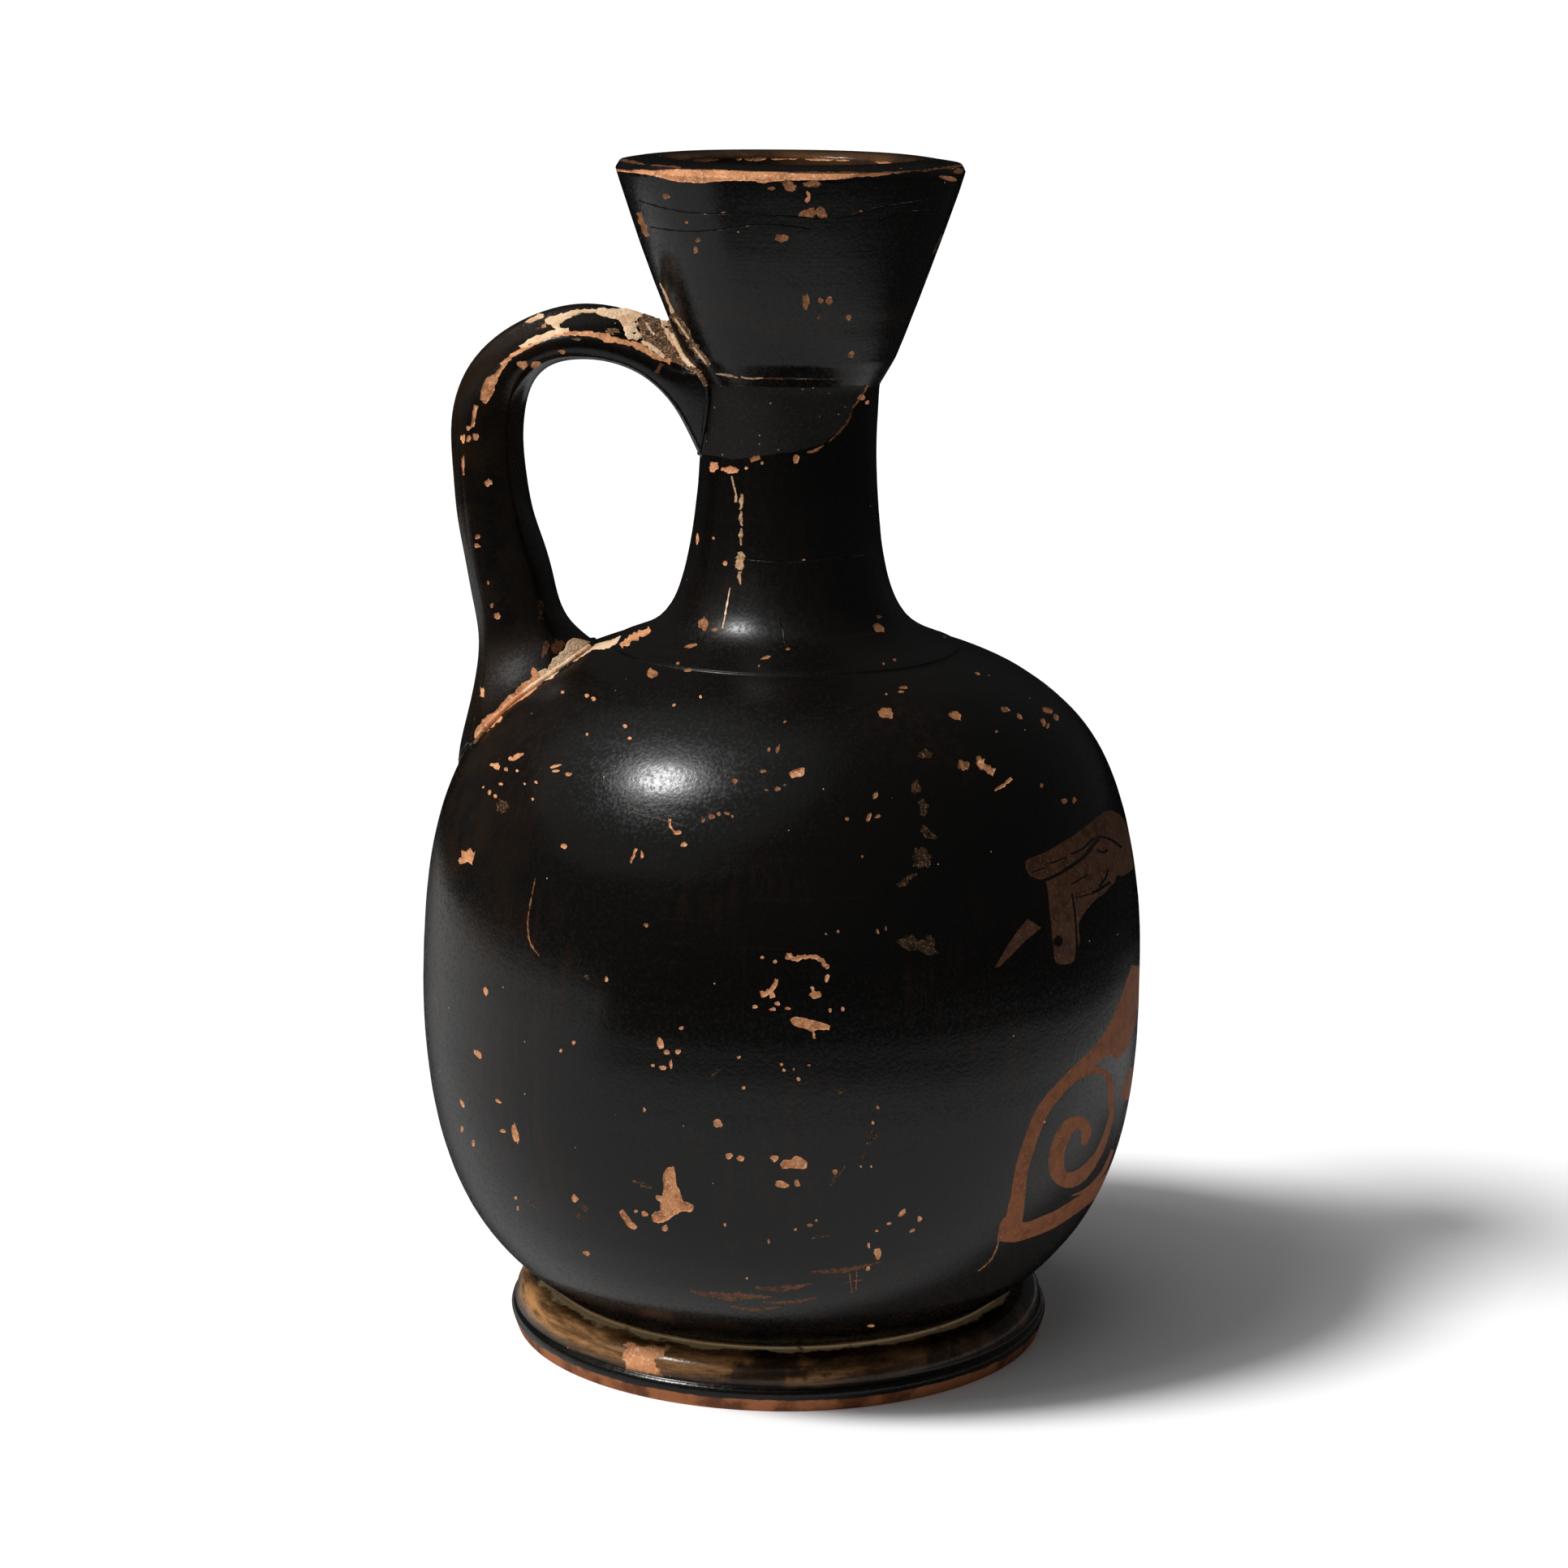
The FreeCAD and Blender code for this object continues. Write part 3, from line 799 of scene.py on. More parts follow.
def bead(name, line, thickness, finishAt, sides=10):
    # a smeared roll of clay or filler laid along the line where the handle meets the pot
    closed = np.vstack([line, line[:1]])
    run = lengthsAlong(closed)
    count = int(run[-1] / joints["beadStep"])
    path = placesAt(np.linspace(0, run[-1], count, endpoint=False), run, closed)
    path = (np.roll(path, 1, axis=0) + 2 * path + np.roll(path, -1, axis=0)) / 4
    along = unit(np.roll(path, -1, axis=0) - np.roll(path, 1, axis=0))
    first = unit(np.cross(along, [0, 0, 1.0]))
    second = np.cross(first, along)
    angles = np.arange(sides) * math.tau / sides
    radius = np.array([thickness(p) for p in path])[:, None]
    radius = radius * (1 + rough.normal(0, 0.07, (count, sides)))
    points = (path[:, None] + first[:, None] * (np.cos(angles) * radius)[..., None]
              + second[:, None] * (np.sin(angles) * radius)[..., None])
    normals = unit(points - path[:, None])
    j, i = np.divmod(np.arange(count * sides), sides)
    a, b = j * sides + i, j * sides + (i + 1) % sides
    c, d = (j + 1) % count * sides + (i + 1) % sides, (j + 1) % count * sides + i
    faces = np.vstack([np.stack([a, b, c], 1), np.stack([a, c, d], 1)])
    flat = points.reshape(-1, 3)
    direct = np.cross(flat[faces[:, 1]] - flat[faces[:, 0]], flat[faces[:, 2]] - flat[faces[:, 0]])
    if (direct * normals.reshape(-1, 3)[faces[:, 0]]).sum() < 0:
        faces = faces[:, ::-1]
    finish = np.array([finishes[finishAt(p)] for p in flat[faces].mean(1)])
    return meshObject(name, flat, faces, normals.reshape(-1, 3)[faces], finish)


# Where the gloss has flaked off to bare clay, from the picture: x, y, width, height, tilt
chips = {
    "mouth": ("oldClay", [(821, 242, 8, 8), (891, 263, 6, 4), (846, 274, 4, 4), (860, 296, 6, 6),
        (857, 308, 7, 8), (950, 233, 9, 5), (972, 230, 19, 12, 20), (1001, 228, 20, 9),
        (996, 264, 20, 13, -8), (1012, 263, 14, 13, 20), (963, 294, 16, 10, 10), (1062, 262, 4, 4),
        (1172, 221, 18, 7, 15), (1163, 218, 8, 5), (1183, 210, 12, 7), (1009, 391, 3, 6), (1046, 392, 8, 7),
        (1049, 437, 8, 9), (993, 372, 9, 18), (1011, 371, 6, 8), (1022, 371, 9, 10, 20)]),
    "neck": ("clay", [(877, 575, 13, 12), (899, 579, 17, 10), (918, 577, 5, 4), (938, 571, 4, 4),
        (888, 578, 6, 4), (981, 566, 8, 11), (893, 694, 6, 6), (991, 690, 4, 3), (878, 663, 3, 4),
        (1062, 490, 9, 8), (1069, 496, 5, 5), (854, 490, 4, 10), (856, 567, 9, 20, -6), (858, 664, 4, 13)]),
    "shoulder": ("oldClay", [(866, 768, 11, 17, 5), (880, 775, 8, 5), (850, 795, 15, 5, -12),
        (1084, 772, 14, 11), (1085, 759, 7, 5), (971, 799, 4, 4), (943, 810, 13, 4, -15), (935, 820, 3, 3),
        (1103, 811, 4, 4), (1089, 816, 3, 3), (835, 816, 4, 4), (847, 825, 9, 3), (803, 828, 14, 11, -20),
        (1113, 847, 11, 4), (1110, 852, 9, 3), (1092, 855, 3, 3), (1165, 782, 5, 4), (1205, 828, 7, 4, 20),
        (1092, 878, 20, 12, 25), (1177, 881, 15, 10, 28), (1238, 874, 12, 7, 10), (1256, 883, 8, 6, 40),
        (1290, 875, 13, 7, 30), (1285, 890, 6, 9, -20), (1291, 894, 4, 8, 20), (1301, 884, 10, 6, 50),
        (1228, 901, 4, 3)]),
    "upperLeft": ("clay", [(722, 855, 5, 5), (730, 859, 6, 5), (692, 851, 4, 4), (769, 893, 6, 5),
        (722, 903, 4, 4), (775, 908, 5, 4), (830, 867, 4, 4), (863, 857, 4, 4), (636, 931, 15, 7, -25),
        (628, 934, 6, 6), (610, 943, 9, 9), (604, 941, 5, 4), (622, 947, 5, 6), (636, 949, 4, 4),
        (683, 943, 13, 4, -15), (684, 949, 9, 4, -10), (699, 953, 8, 5, -15), (615, 965, 5, 4),
        (645, 965, 3, 3), (659, 963, 4, 4), (601, 975, 4, 7, 10), (608, 980, 5, 5), (655, 984, 3, 4),
        (593, 969, 3, 3), (567, 1060, 9, 9), (693, 1042, 7, 7), (790, 1053, 4, 9, -10),
        (834, 1025, 9, 6, -10), (842, 1040, 8, 7)]),
    "upperMiddle": ("oldClay", [(905, 961, 7, 6), (947, 922, 4, 7, 10), (958, 921, 5, 10, 20),
        (940, 949, 11, 4, -12), (958, 971, 7, 6, -15), (944, 972, 5, 3), (967, 966, 4, 3, -20),
        (866, 1010, 6, 4, -40), (876, 1005, 9, 6), (885, 1002, 5, 5), (895, 1001, 8, 4, 15),
        (902, 1005, 3, 4), (795, 1140, 6, 6), (967, 888, 4, 3), (1188, 942, 13, 13, 20),
        (1207, 935, 9, 8, 30), (1079, 979, 6, 10, 20), (1044, 1008, 5, 5), (1071, 1006, 6, 10, 25),
        (1082, 1005, 9, 4, -30), (1018, 1151, 3, 3), (1033, 1148, 4, 4), (1082, 1148, 4, 6),
        (1092, 1144, 3, 6), (1313, 986, 7, 7), (1326, 985, 5, 8), (1063, 1055, 3, 4), (1285, 967, 5, 5)]),
    "belly": ("clay", [(939, 1180, 5, 4), (955, 1185, 5, 5), (1019, 1206, 5, 12, 15), (1001, 1218, 6, 5),
        (1005, 1226, 14, 11, 20), (930, 1241, 7, 5), (958, 1237, 8, 5, 15), (952, 1244, 8, 4),
        (971, 1243, 7, 4), (1023, 1245, 4, 6), (1039, 1244, 5, 6, 20), (597, 1221, 5, 13, -18),
        (746, 1207, 5, 7), (839, 1267, 5, 5), (813, 1286, 8, 15, -8), (821, 1297, 8, 6), (835, 1296, 7, 6),
        (804, 1313, 5, 4), (816, 1316, 10, 5, 15), (826, 1312, 4, 12), (690, 1295, 4, 4), (706, 1285, 5, 5),
        (587, 1299, 14, 6, 40), (569, 1360, 4, 11, -20), (568, 1391, 4, 8), (582, 1409, 4, 8),
        (613, 1357, 8, 4, 30), (619, 1394, 7, 5, 20), (634, 1397, 7, 27, -12), (884, 1385, 11, 10),
        (916, 1341, 5, 4), (963, 1312, 4, 4), (966, 1319, 4, 5), (978, 1318, 3, 3), (984, 1330, 5, 5),
        (997, 1313, 4, 3), (910, 1303, 6, 3, -20), (898, 1425, 9, 7), (912, 1428, 8, 8), (954, 1428, 9, 9),
        (963, 1460, 17, 9, 5), (982, 1459, 8, 8), (1029, 1445, 7, 6), (1076, 1384, 4, 5),
        (1082, 1365, 4, 4), (1061, 1438, 3, 3), (1074, 1438, 3, 3), (793, 1368, 4, 6, 20)]),
    "foot": ("clay", [(783, 1493, 5, 4), (794, 1496, 9, 6, 10), (819, 1514, 8, 8), (708, 1477, 8, 10, 15),
        (634, 1477, 4, 4), (636, 1490, 3, 6), (893, 1510, 3, 5), (947, 1531, 3, 6), (980, 1516, 4, 3),
        (998, 1511, 7, 4), (1006, 1505, 4, 3), (1112, 1496, 6, 12, 35), (1134, 1503, 6, 7),
        (1125, 1518, 8, 4, -30), (1096, 1509, 5, 4), (1081, 1518, 4, 3), (1071, 1536, 4, 7),
        (1082, 1546, 9, 14, -15), (1070, 1564, 5, 8, 20), (721, 1546, 9, 6, 10), (920, 1576, 3, 3),
        (1074, 1636, 9, 4), (1288, 1383, 3, 3)]),
}
# Spots where the gloss is only thin or stained: x, y, width, height, tilt
stains = [
    (617, 993, 17, 15, 10), (1140, 928, 20, 10, 5), (1129, 969, 10, 17), (1139, 994, 13, 18, -10),
    (1144, 1026, 20, 12, 30), (1137, 1057, 27, 21, 20), (1116, 1086, 24, 8, -35), (1129, 1164, 40, 20, 15),
    (1146, 1160, 16, 12), (1074, 1401, 12, 20, 15), (1065, 1425, 7, 12), (1036, 1345, 9, 9),
    (882, 1322, 14, 4, -40), (714, 1500, 14, 5, 30), (655, 1486, 16, 4, 45), (722, 1204, 6, 6),
    (1011, 1525, 20, 4, -8), (719, 1488, 9, 12, -30),
]
# Longer marks: the path, its widths and the finish
scratches = [
    ([(616, 880), (598, 893), (584, 907)], [10, 8, 3], "clay"),
    ([(657, 1082), (655, 1093), (650, 1121), (649, 1149), (654, 1166), (663, 1178)], [1, 1.2, 1.5, 2, 2, 1],
     "oldClay"),
    ([(783, 1045), (776, 1063)], [3, 3], "clay"),
    ([(824, 1008), (825, 1018), (831, 1024)], [3, 2.4, 3], "clay"),
    ([(1227, 973), (1238, 966), (1248, 958)], [2, 4, 3.4], "clay"),
    ([(1207, 936), (1218, 947), (1226, 951)], [9, 11, 8], "clay"),
    ([(957, 1207), (949, 1221), (937, 1226)], [5, 5, 6], "clay"),
    ([(949, 1220), (952, 1230)], [6, 5], "clay"),
    ([(968, 1178), (980, 1181), (996, 1179), (1008, 1181), (1016, 1187), (1020, 1194)], [8, 7, 4, 5, 6, 6],
     "clay"),
    ([(1044, 1433), (1033, 1448), (1023, 1463)], [3, 4, 3], "brown"),
    ([(779, 1456), (803, 1465)], [4, 5], "brown"),
    ([(850, 1592), (880, 1598), (915, 1599), (950, 1600)], [3, 8, 9, 2], "rust"),
    ([(930, 1588), (965, 1589), (1000, 1582)], [3, 7, 2], "rust"),
    ([(940, 1606), (975, 1606), (1005, 1600)], [2, 5, 2], "rust"),
    ([(1000, 1568), (1040, 1566), (1085, 1556)], [2, 6, 2], "rust"),
    ([(900, 1612), (930, 1616), (960, 1612)], [2, 4, 1.5], "rust"),
    ([(1234, 1525), (1229, 1540), (1223, 1553), (1206, 1568)], [1.5, 1.6, 2, 1.2], "oldClay"),
    ([(1047, 1570), (1050, 1594)], [1, 1.2], "oldClay"),
    ([(1040, 1582), (1062, 1578)], [1, 1], "oldClay"),
    ([(1056, 1568), (1055, 1590)], [1, 1.2], "oldClay"),
    ([(773, 999), (806, 1007), (841, 1016)], [1.2, 1.6, 1], "brown"),
    ([(764, 794), (782, 782), (800, 773)], [6, 9, 6], "clay"),
    ([(900, 587), (901, 596), (904, 606), (905, 619)], [2, 3, 2, 3], "pale"),
    ([(911, 609), (912, 618), (910, 628)], [3, 5, 2], "pale"),
    ([(912, 630), (911, 640), (913, 648)], [2, 4, 2], "pale"),
    ([(912, 651), (911, 660), (912, 672)], [2, 4, 2], "pale"),
    ([(910, 680), (912, 690), (910, 702)], [5, 12, 5], "pale"),
    ([(905, 697), (915, 694)], [5, 7], "pale"),
    ([(911, 704), (910, 712), (912, 720)], [4, 4, 2], "pale"),
    ([(923, 567), (935, 563)], [5, 4], "oldClay"),
    ([(995, 558), (1007, 555), (1016, 549)], [2, 3, 2], "oldClay"),
    ([(1022, 545), (1032, 536), (1040, 527), (1046, 519), (1050, 505)], [2, 2.5, 3, 2, 2], "rust"),
    ([(1051, 503), (1060, 491), (1070, 475)], [1.5, 2.5, 1.5], "oldClay"),
    ([(853, 505), (852, 520), (853, 535)], [3, 4, 3], "brown"),
    # a thin cream line that is a painted highlight along a scratch ridge
    ([(890, 774), (894, 752), (899, 724)], [1.2, 2, 1.2], "plaster"),
    ([(1030, 271), (1060, 264), (1090, 256), (1130, 250), (1174, 240)], [1.5, 3, 3, 2.5, 1.5], "gloss"),
    ([(1085, 273), (1120, 263), (1150, 259), (1172, 251)], [1.5, 2.5, 2.5, 1.5], "gloss"),
    ([(786, 247), (830, 259), (890, 264), (955, 266), (1010, 271)], [1.5, 2, 2.5, 2.5, 1.5], "gloss"),
    ([(800, 280), (860, 285), (940, 277), (1000, 283)], [1.5, 2, 2, 1.5], "gloss"),
    ([(919, 689), (967, 692), (1013, 690), (1070, 684)], [2, 3, 3, 2], "gloss"),
    ([(962, 761), (964, 778), (967, 797)], [1.5, 2.5, 1.5], "gloss"),
    ([(994, 237), (997, 243), (993, 250)], [4, 3, 5], "clay"),
    ([(786, 262), (790, 277), (796, 292)], [5, 9, 5], "oldClay"),
    ([(1164, 290), (1158, 302), (1152, 314)], [2, 3, 2], "brown"),
    ([(1146, 339), (1140, 362)], [3, 2], "brown"),
    ([(880, 462), (895, 464), (908, 467)], [1.5, 3, 1.5], "pale"),
    ([(912, 466), (926, 468), (940, 467)], [2, 2.5, 1], "pale"),
    ([(938, 468), (970, 468), (1013, 468), (1040, 467)], [1.5, 2.5, 1.5, 2], "brown"),
]
mattPatch = [
    (860, 473), (900, 477), (960, 479), (1020, 478), (1048, 476), (1070, 474), (1060, 492), (1049, 506),
    (1046, 519), (1036, 529), (1016, 547), (985, 556), (940, 562), (900, 566), (858, 560),
]
# Larger losses, as outlines in the picture
losses = {
    "arrow": [(823, 1439), (829, 1438), (831, 1445), (832, 1457), (837, 1469), (841, 1481), (853, 1484),
        (855, 1489), (851, 1494), (841, 1493), (833, 1496), (823, 1504), (813, 1508), (804, 1506),
        (802, 1498), (807, 1493), (813, 1492), (813, 1482), (807, 1477), (808, 1473), (815, 1475),
        (817, 1465), (816, 1453), (817, 1446)],
    "wing": [(762, 1494), (768, 1490), (771, 1496), (777, 1504), (785, 1511), (783, 1515), (775, 1514),
        (769, 1506)],
    "bar": [(973, 1257), (979, 1253), (991, 1255), (1007, 1259), (1023, 1264), (1022, 1270), (1009, 1269),
        (1003, 1271), (1006, 1280), (1002, 1281), (1000, 1271), (987, 1267), (977, 1264)],
    "cloud": [(961, 1435), (965, 1430), (975, 1430), (981, 1424), (987, 1427), (995, 1433), (994, 1441),
        (985, 1441), (975, 1440), (963, 1441)],
    "star": [(566, 1046), (572, 1049), (577, 1043), (581, 1051), (584, 1048), (580, 1060), (580, 1067),
        (575, 1062), (568, 1063), (563, 1064), (567, 1058)],
    "pearl": [(972, 952), (976, 948), (985, 945), (991, 944), (992, 950), (988, 956), (982, 955),
        (975, 958)],
    "lipRight": [(1036, 206), (1061, 207), (1092, 205), (1123, 202), (1153, 200), (1178, 197), (1191, 193),
        (1190, 202), (1175, 207), (1160, 205), (1145, 210), (1129, 209), (1107, 212), (1077, 216),
        (1056, 216), (1036, 220)],
    "lip": [(756, 207), (772, 210), (789, 209), (801, 210), (832, 208), (868, 208), (899, 206), (924, 209),
        (954, 208), (1000, 207), (1034, 206), (1070, 206), (1052, 214), (1034, 220), (1015, 223),
        (985, 223), (954, 224), (939, 227), (930, 224), (911, 223), (884, 224), (862, 226), (832, 224),
        (813, 219), (801, 216), (780, 213), (757, 211)],
}
markDepth = {"loss": 0.16, "speck": 0.09, "lip": 0.12, "smallest": 5, "raggedStep": 3.2}


def picturedMarks():
    d = markDepth
    found = []

    def cut(outline, finish, sink):
        found.append(mark(finish, potHits(outline), sink, 0.12 if finish == "clay" else 0.1))

    cut(raggedLoop(mattPatch, 0.5, 6), "matt", 0)
    for spot in stains:
        cut(ellipse(*spot, ragged=0.3), "brown", 0)
    for name, outline in losses.items():
        finish = "oldClay" if name == "lipRight" else "clay"
        cut(raggedLoop(outline, 0.35, d["raggedStep"]), finish, d["lip"] if "lip" in name else d["loss"])
    for finish, group in chips.values():
        for spot in group:
            cut(ellipse(*spot), finish, 0 if max(spot[2:4]) <= d["smallest"] else d["speck"])
    for path, widths, finish in scratches:
        flat = finish in ("brown", "plaster", "rust", "pale")
        cut(strip(path, widths, 0.8, 3), finish, 0 if flat else d["speck"])
    return found


# Marks on the sides that the picture doesn't show: how many, where and how large in mm
hiddenWear = {
    "count": 95, "firstTurn": 0.52, "lastTurn": 1.0, "least": 0.35, "most": 2.4,
    "aboveFoot": 3, "belowLip": 1,
    # along the mouth, each place and half its length in turns; the pieces on its inner edge have a
    # width in mm too
    "lipPieces": [(0.55, 0.05), (0.64, 0.02), (0.72, 0.07), (0.86, 0.04), (0.93, 0.03), (0.985, 0.012)],
    "rimStains": [(0.06, 0.05), (0.14, 0.02), (0.30, 0.04), (0.44, 0.05), (0.53, 0.03), (0.62, 0.05),
                  (0.76, 0.07), (0.90, 0.05)],
    "mouthPieces": [(0.69, 0.012, 0.12), (0.725, 0.022, 0.2), (0.765, 0.008, 0.12), (0.785, 0.012, 0.16),
                    (0.82, 0.017, 0.3), (0.845, 0.005, 0.2), (0.61, 0.02, 0.2), (0.91, 0.03, 0.25),
                    (0.13, 0.025, 0.2), (0.38, 0.02, 0.2)],
}


def roundEnded(half, perTurn, least):
    # steps across a mark in turns and its width at each, from 0 at both ends to 1
    steps = np.linspace(-half, half, max(least, int(half * perTurn)))
    return steps, np.sqrt(np.clip(1 - (steps / half) ** 2, 0, 1))


def outlineBetween(turns, low, high):
    return np.vstack([np.stack([turns, low], 1), np.stack([turns, high], 1)[::-1]])


def hiddenMarks():
    w = hiddenWear
    found = []
    start, end = outlineMarks["body"] + w["aboveFoot"], outlineMarks["lip"] - w["belowLip"]
    wobble = lambda amount, steps: rough.normal(0, amount, len(steps))
    for _ in range(w["count"]):
        turn, run = rough.uniform(w["firstTurn"], w["lastTurn"]), rough.uniform(start, end)
        size = w["least"] + (w["most"] - w["least"]) * rough.uniform() ** 4
        tilt, long = rough.uniform(0, 180), rough.uniform(0.45, 1.0)
        outline = ellipse(0, 0, size * 8, size * 8 * long, tilt, 0.2) / 8
        radius = placesAt(run, outlineRun, outlinePath)[0]
        spots = np.stack([turn + outline[:, 0] / (math.tau * radius), run + outline[:, 1]], 1)
        spots[:, 0] = np.clip(spots[:, 0], 0.001, 0.999)
        found.append(mark("clay", spots, 0.09 if size > 0.6 else 0, 0.12))
    for turn, half in w["lipPieces"]:
        steps, wide = roundEnded(half, 700, 8)
        low = outlineMarks["lip"] - 0.1 + wobble(0.06, steps)
        high = outlineMarks["lip"] + 0.1 + 1.0 * wide + wobble(0.06, steps)
        found.append(mark("clay", outlineBetween(turn + steps, low, high), 0.1, 0.12))
    for turn, half in w["rimStains"]:
        steps, wide = roundEnded(half, 500, 9)
        low = outlineMarks["lip"] + 1.15 + wobble(0.05, steps)
        high = low + 0.1 + wide * rough.uniform(0.3, 0.9, len(steps))
        found.append(mark("rust", outlineBetween(turn + steps, low, high)))
    for turn, half, width in w["mouthPieces"]:
        steps, wide = roundEnded(half, 900, 7)
        edge = outlineMarks["funnel"] + 0.15
        low = edge - 0.6 * width * wide + wobble(0.03, steps)
        high = edge + width * wide + wobble(0.03, steps) + 0.1
        found.append(mark("clay", outlineBetween(turn + steps, low, high), 0.07, 0.1))
    return found


# The ornament left in the clay's own colour, as the picture shows its near half; the far half mirrors it
ornament = {
    "stem": ([(1250, 1507), (1255, 1478), (1260, 1442), (1270, 1408), (1281, 1379), (1295, 1356),
        (1310, 1339), (1327, 1322), (1345, 1306), (1364, 1289), (1379, 1266), (1390, 1239), (1398, 1213),
        (1403, 1190)], [22, 18, 16, 16, 16, 15, 15, 15, 17, 22, 22, 20, 17, 12]),
    "volute": ([(1306, 1339), (1329, 1327), (1348, 1319), (1362, 1322), (1369, 1337), (1371, 1358),
        (1370, 1377), (1365, 1396), (1358, 1415), (1348, 1432), (1336, 1446), (1323, 1454), (1312, 1454),
        (1304, 1443), (1303, 1425), (1308, 1406), (1317, 1390), (1329, 1383), (1338, 1389), (1339, 1400),
        (1336, 1411)], [8, 9, 9, 9, 8, 7, 6, 7, 8, 11, 15, 19, 19, 20, 19, 18, 17, 16, 15, 11, 6]),
    "thinBand": ([(1322, 1474), (1336, 1469), (1350, 1458), (1364, 1438), (1372, 1417)], [2, 4, 5, 5, 4]),
    "sideLeaf": [(1368, 1297), (1377, 1306), (1389, 1296), (1398, 1274), (1404, 1243), (1406, 1213),
        (1403, 1205), (1400, 1228), (1394, 1251), (1385, 1272), (1373, 1287)],
    "edgeLeaf": [(1385, 1337), (1389, 1326), (1395, 1314), (1399, 1318), (1397, 1337), (1391, 1356),
        (1384, 1357), (1383, 1347)],
    "bandLower": [(1230, 1530), (1249, 1532), (1272, 1526), (1295, 1517), (1318, 1503), (1341, 1486),
        (1360, 1467), (1372, 1446)],
    "bandUpper": [(1233, 1511), (1239, 1501), (1262, 1507), (1280, 1502), (1299, 1494), (1322, 1480),
        (1345, 1465), (1364, 1446), (1375, 1429)],
    # fold and point are laid in a darker copy of the reserve, which is painted shade
    "fold": [(1265, 1061), (1274, 1056), (1285, 1052), (1295, 1047), (1310, 1038), (1325, 1029),
        (1341, 1017), (1354, 1006), (1363, 999), (1373, 997), (1384, 1004), (1391, 1016), (1396, 1036),
        (1400, 1069), (1394, 1075), (1387, 1079), (1379, 1078), (1377, 1086), (1371, 1092), (1364, 1100),
        (1354, 1107), (1348, 1113), (1341, 1121), (1335, 1130), (1331, 1138), (1333, 1159), (1329, 1174),
        (1325, 1186), (1314, 1189), (1304, 1188), (1301, 1180), (1300, 1165), (1298, 1145), (1295, 1120),
        (1293, 1095), (1290, 1084), (1280, 1083), (1270, 1079), (1266, 1069)],
    "point": [(1227, 1193), (1241, 1169), (1255, 1148), (1268, 1132), (1272, 1135), (1280, 1140),
        (1285, 1143), (1278, 1149), (1266, 1159), (1255, 1170), (1243, 1182), (1234, 1191)],
    "foldLines": [
        ([(1272, 1075), (1289, 1069)], 1.6),
        ([(1295, 1064), (1316, 1056)], 1.8),
        ([(1322, 1052), (1337, 1045), (1350, 1033), (1356, 1030), (1367, 1032), (1379, 1039), (1385, 1044)],
         3),
        ([(1266, 1092), (1287, 1085), (1306, 1077), (1325, 1065), (1341, 1052), (1352, 1038), (1357, 1033)],
         4),
        ([(1322, 1090), (1343, 1077)], 2.2),
        ([(1327, 1106), (1348, 1101)], 1.4),
        ([(1348, 1100), (1360, 1094), (1371, 1086)], 4),
        ([(1368, 1071), (1364, 1083), (1356, 1092)], 2.4),
        ([(1354, 1046), (1362, 1050), (1368, 1046)], 3),
        ([(1323, 1101), (1326, 1121), (1328, 1143), (1329, 1170), (1327, 1184)], 2.6),
    ],
    "hole": (1306, 1160, 12, 14),
}


def mirrored(spots):
    return np.stack([1 - spots[:, 0], spots[:, 1]], 1)[::-1]


def eased(spots, spacing=4.0):
    # a smooth line through the given spots
    p = np.array(spots, float)
    run = lengthsAlong(p)
    return naturalSpline(run, p, np.linspace(0, run[-1], max(3, int(run[-1] / spacing) + 1)))


def ornamentMarks():
    o = ornament
    found = []

    def lay(spots, finish):
        found.append(mark(finish, spots))
        found.append(mark(finish, mirrored(spots)))

    lower, upper = potHits(eased(o["bandLower"])), potHits(eased(o["bandUpper"]))
    whole = np.vstack([lower, mirrored(lower), mirrored(upper)[::-1], upper[::-1]])
    found.append(mark("reserve", whole))
    for name in ("stem", "volute", "thinBand"):
        path, widths = o[name]
        lay(potHits(strip(path, widths, 0.05)), "reserve")
    for name in ("sideLeaf", "edgeLeaf", "fold", "point"):
        # fold and point take the darker reserve: painted shade on the pot's shaded right side
        lay(potHits(raggedLoop(o[name], 0.15, 4)), "dark" if name in ("fold", "point") else "reserve")
    for path, width in o["foldLines"]:
        lay(potHits(strip(path, width, 0.3, 5)), "gloss")
    lay(potHits(ellipse(*o["hole"], ragged=0.12)), "gloss")
    return found


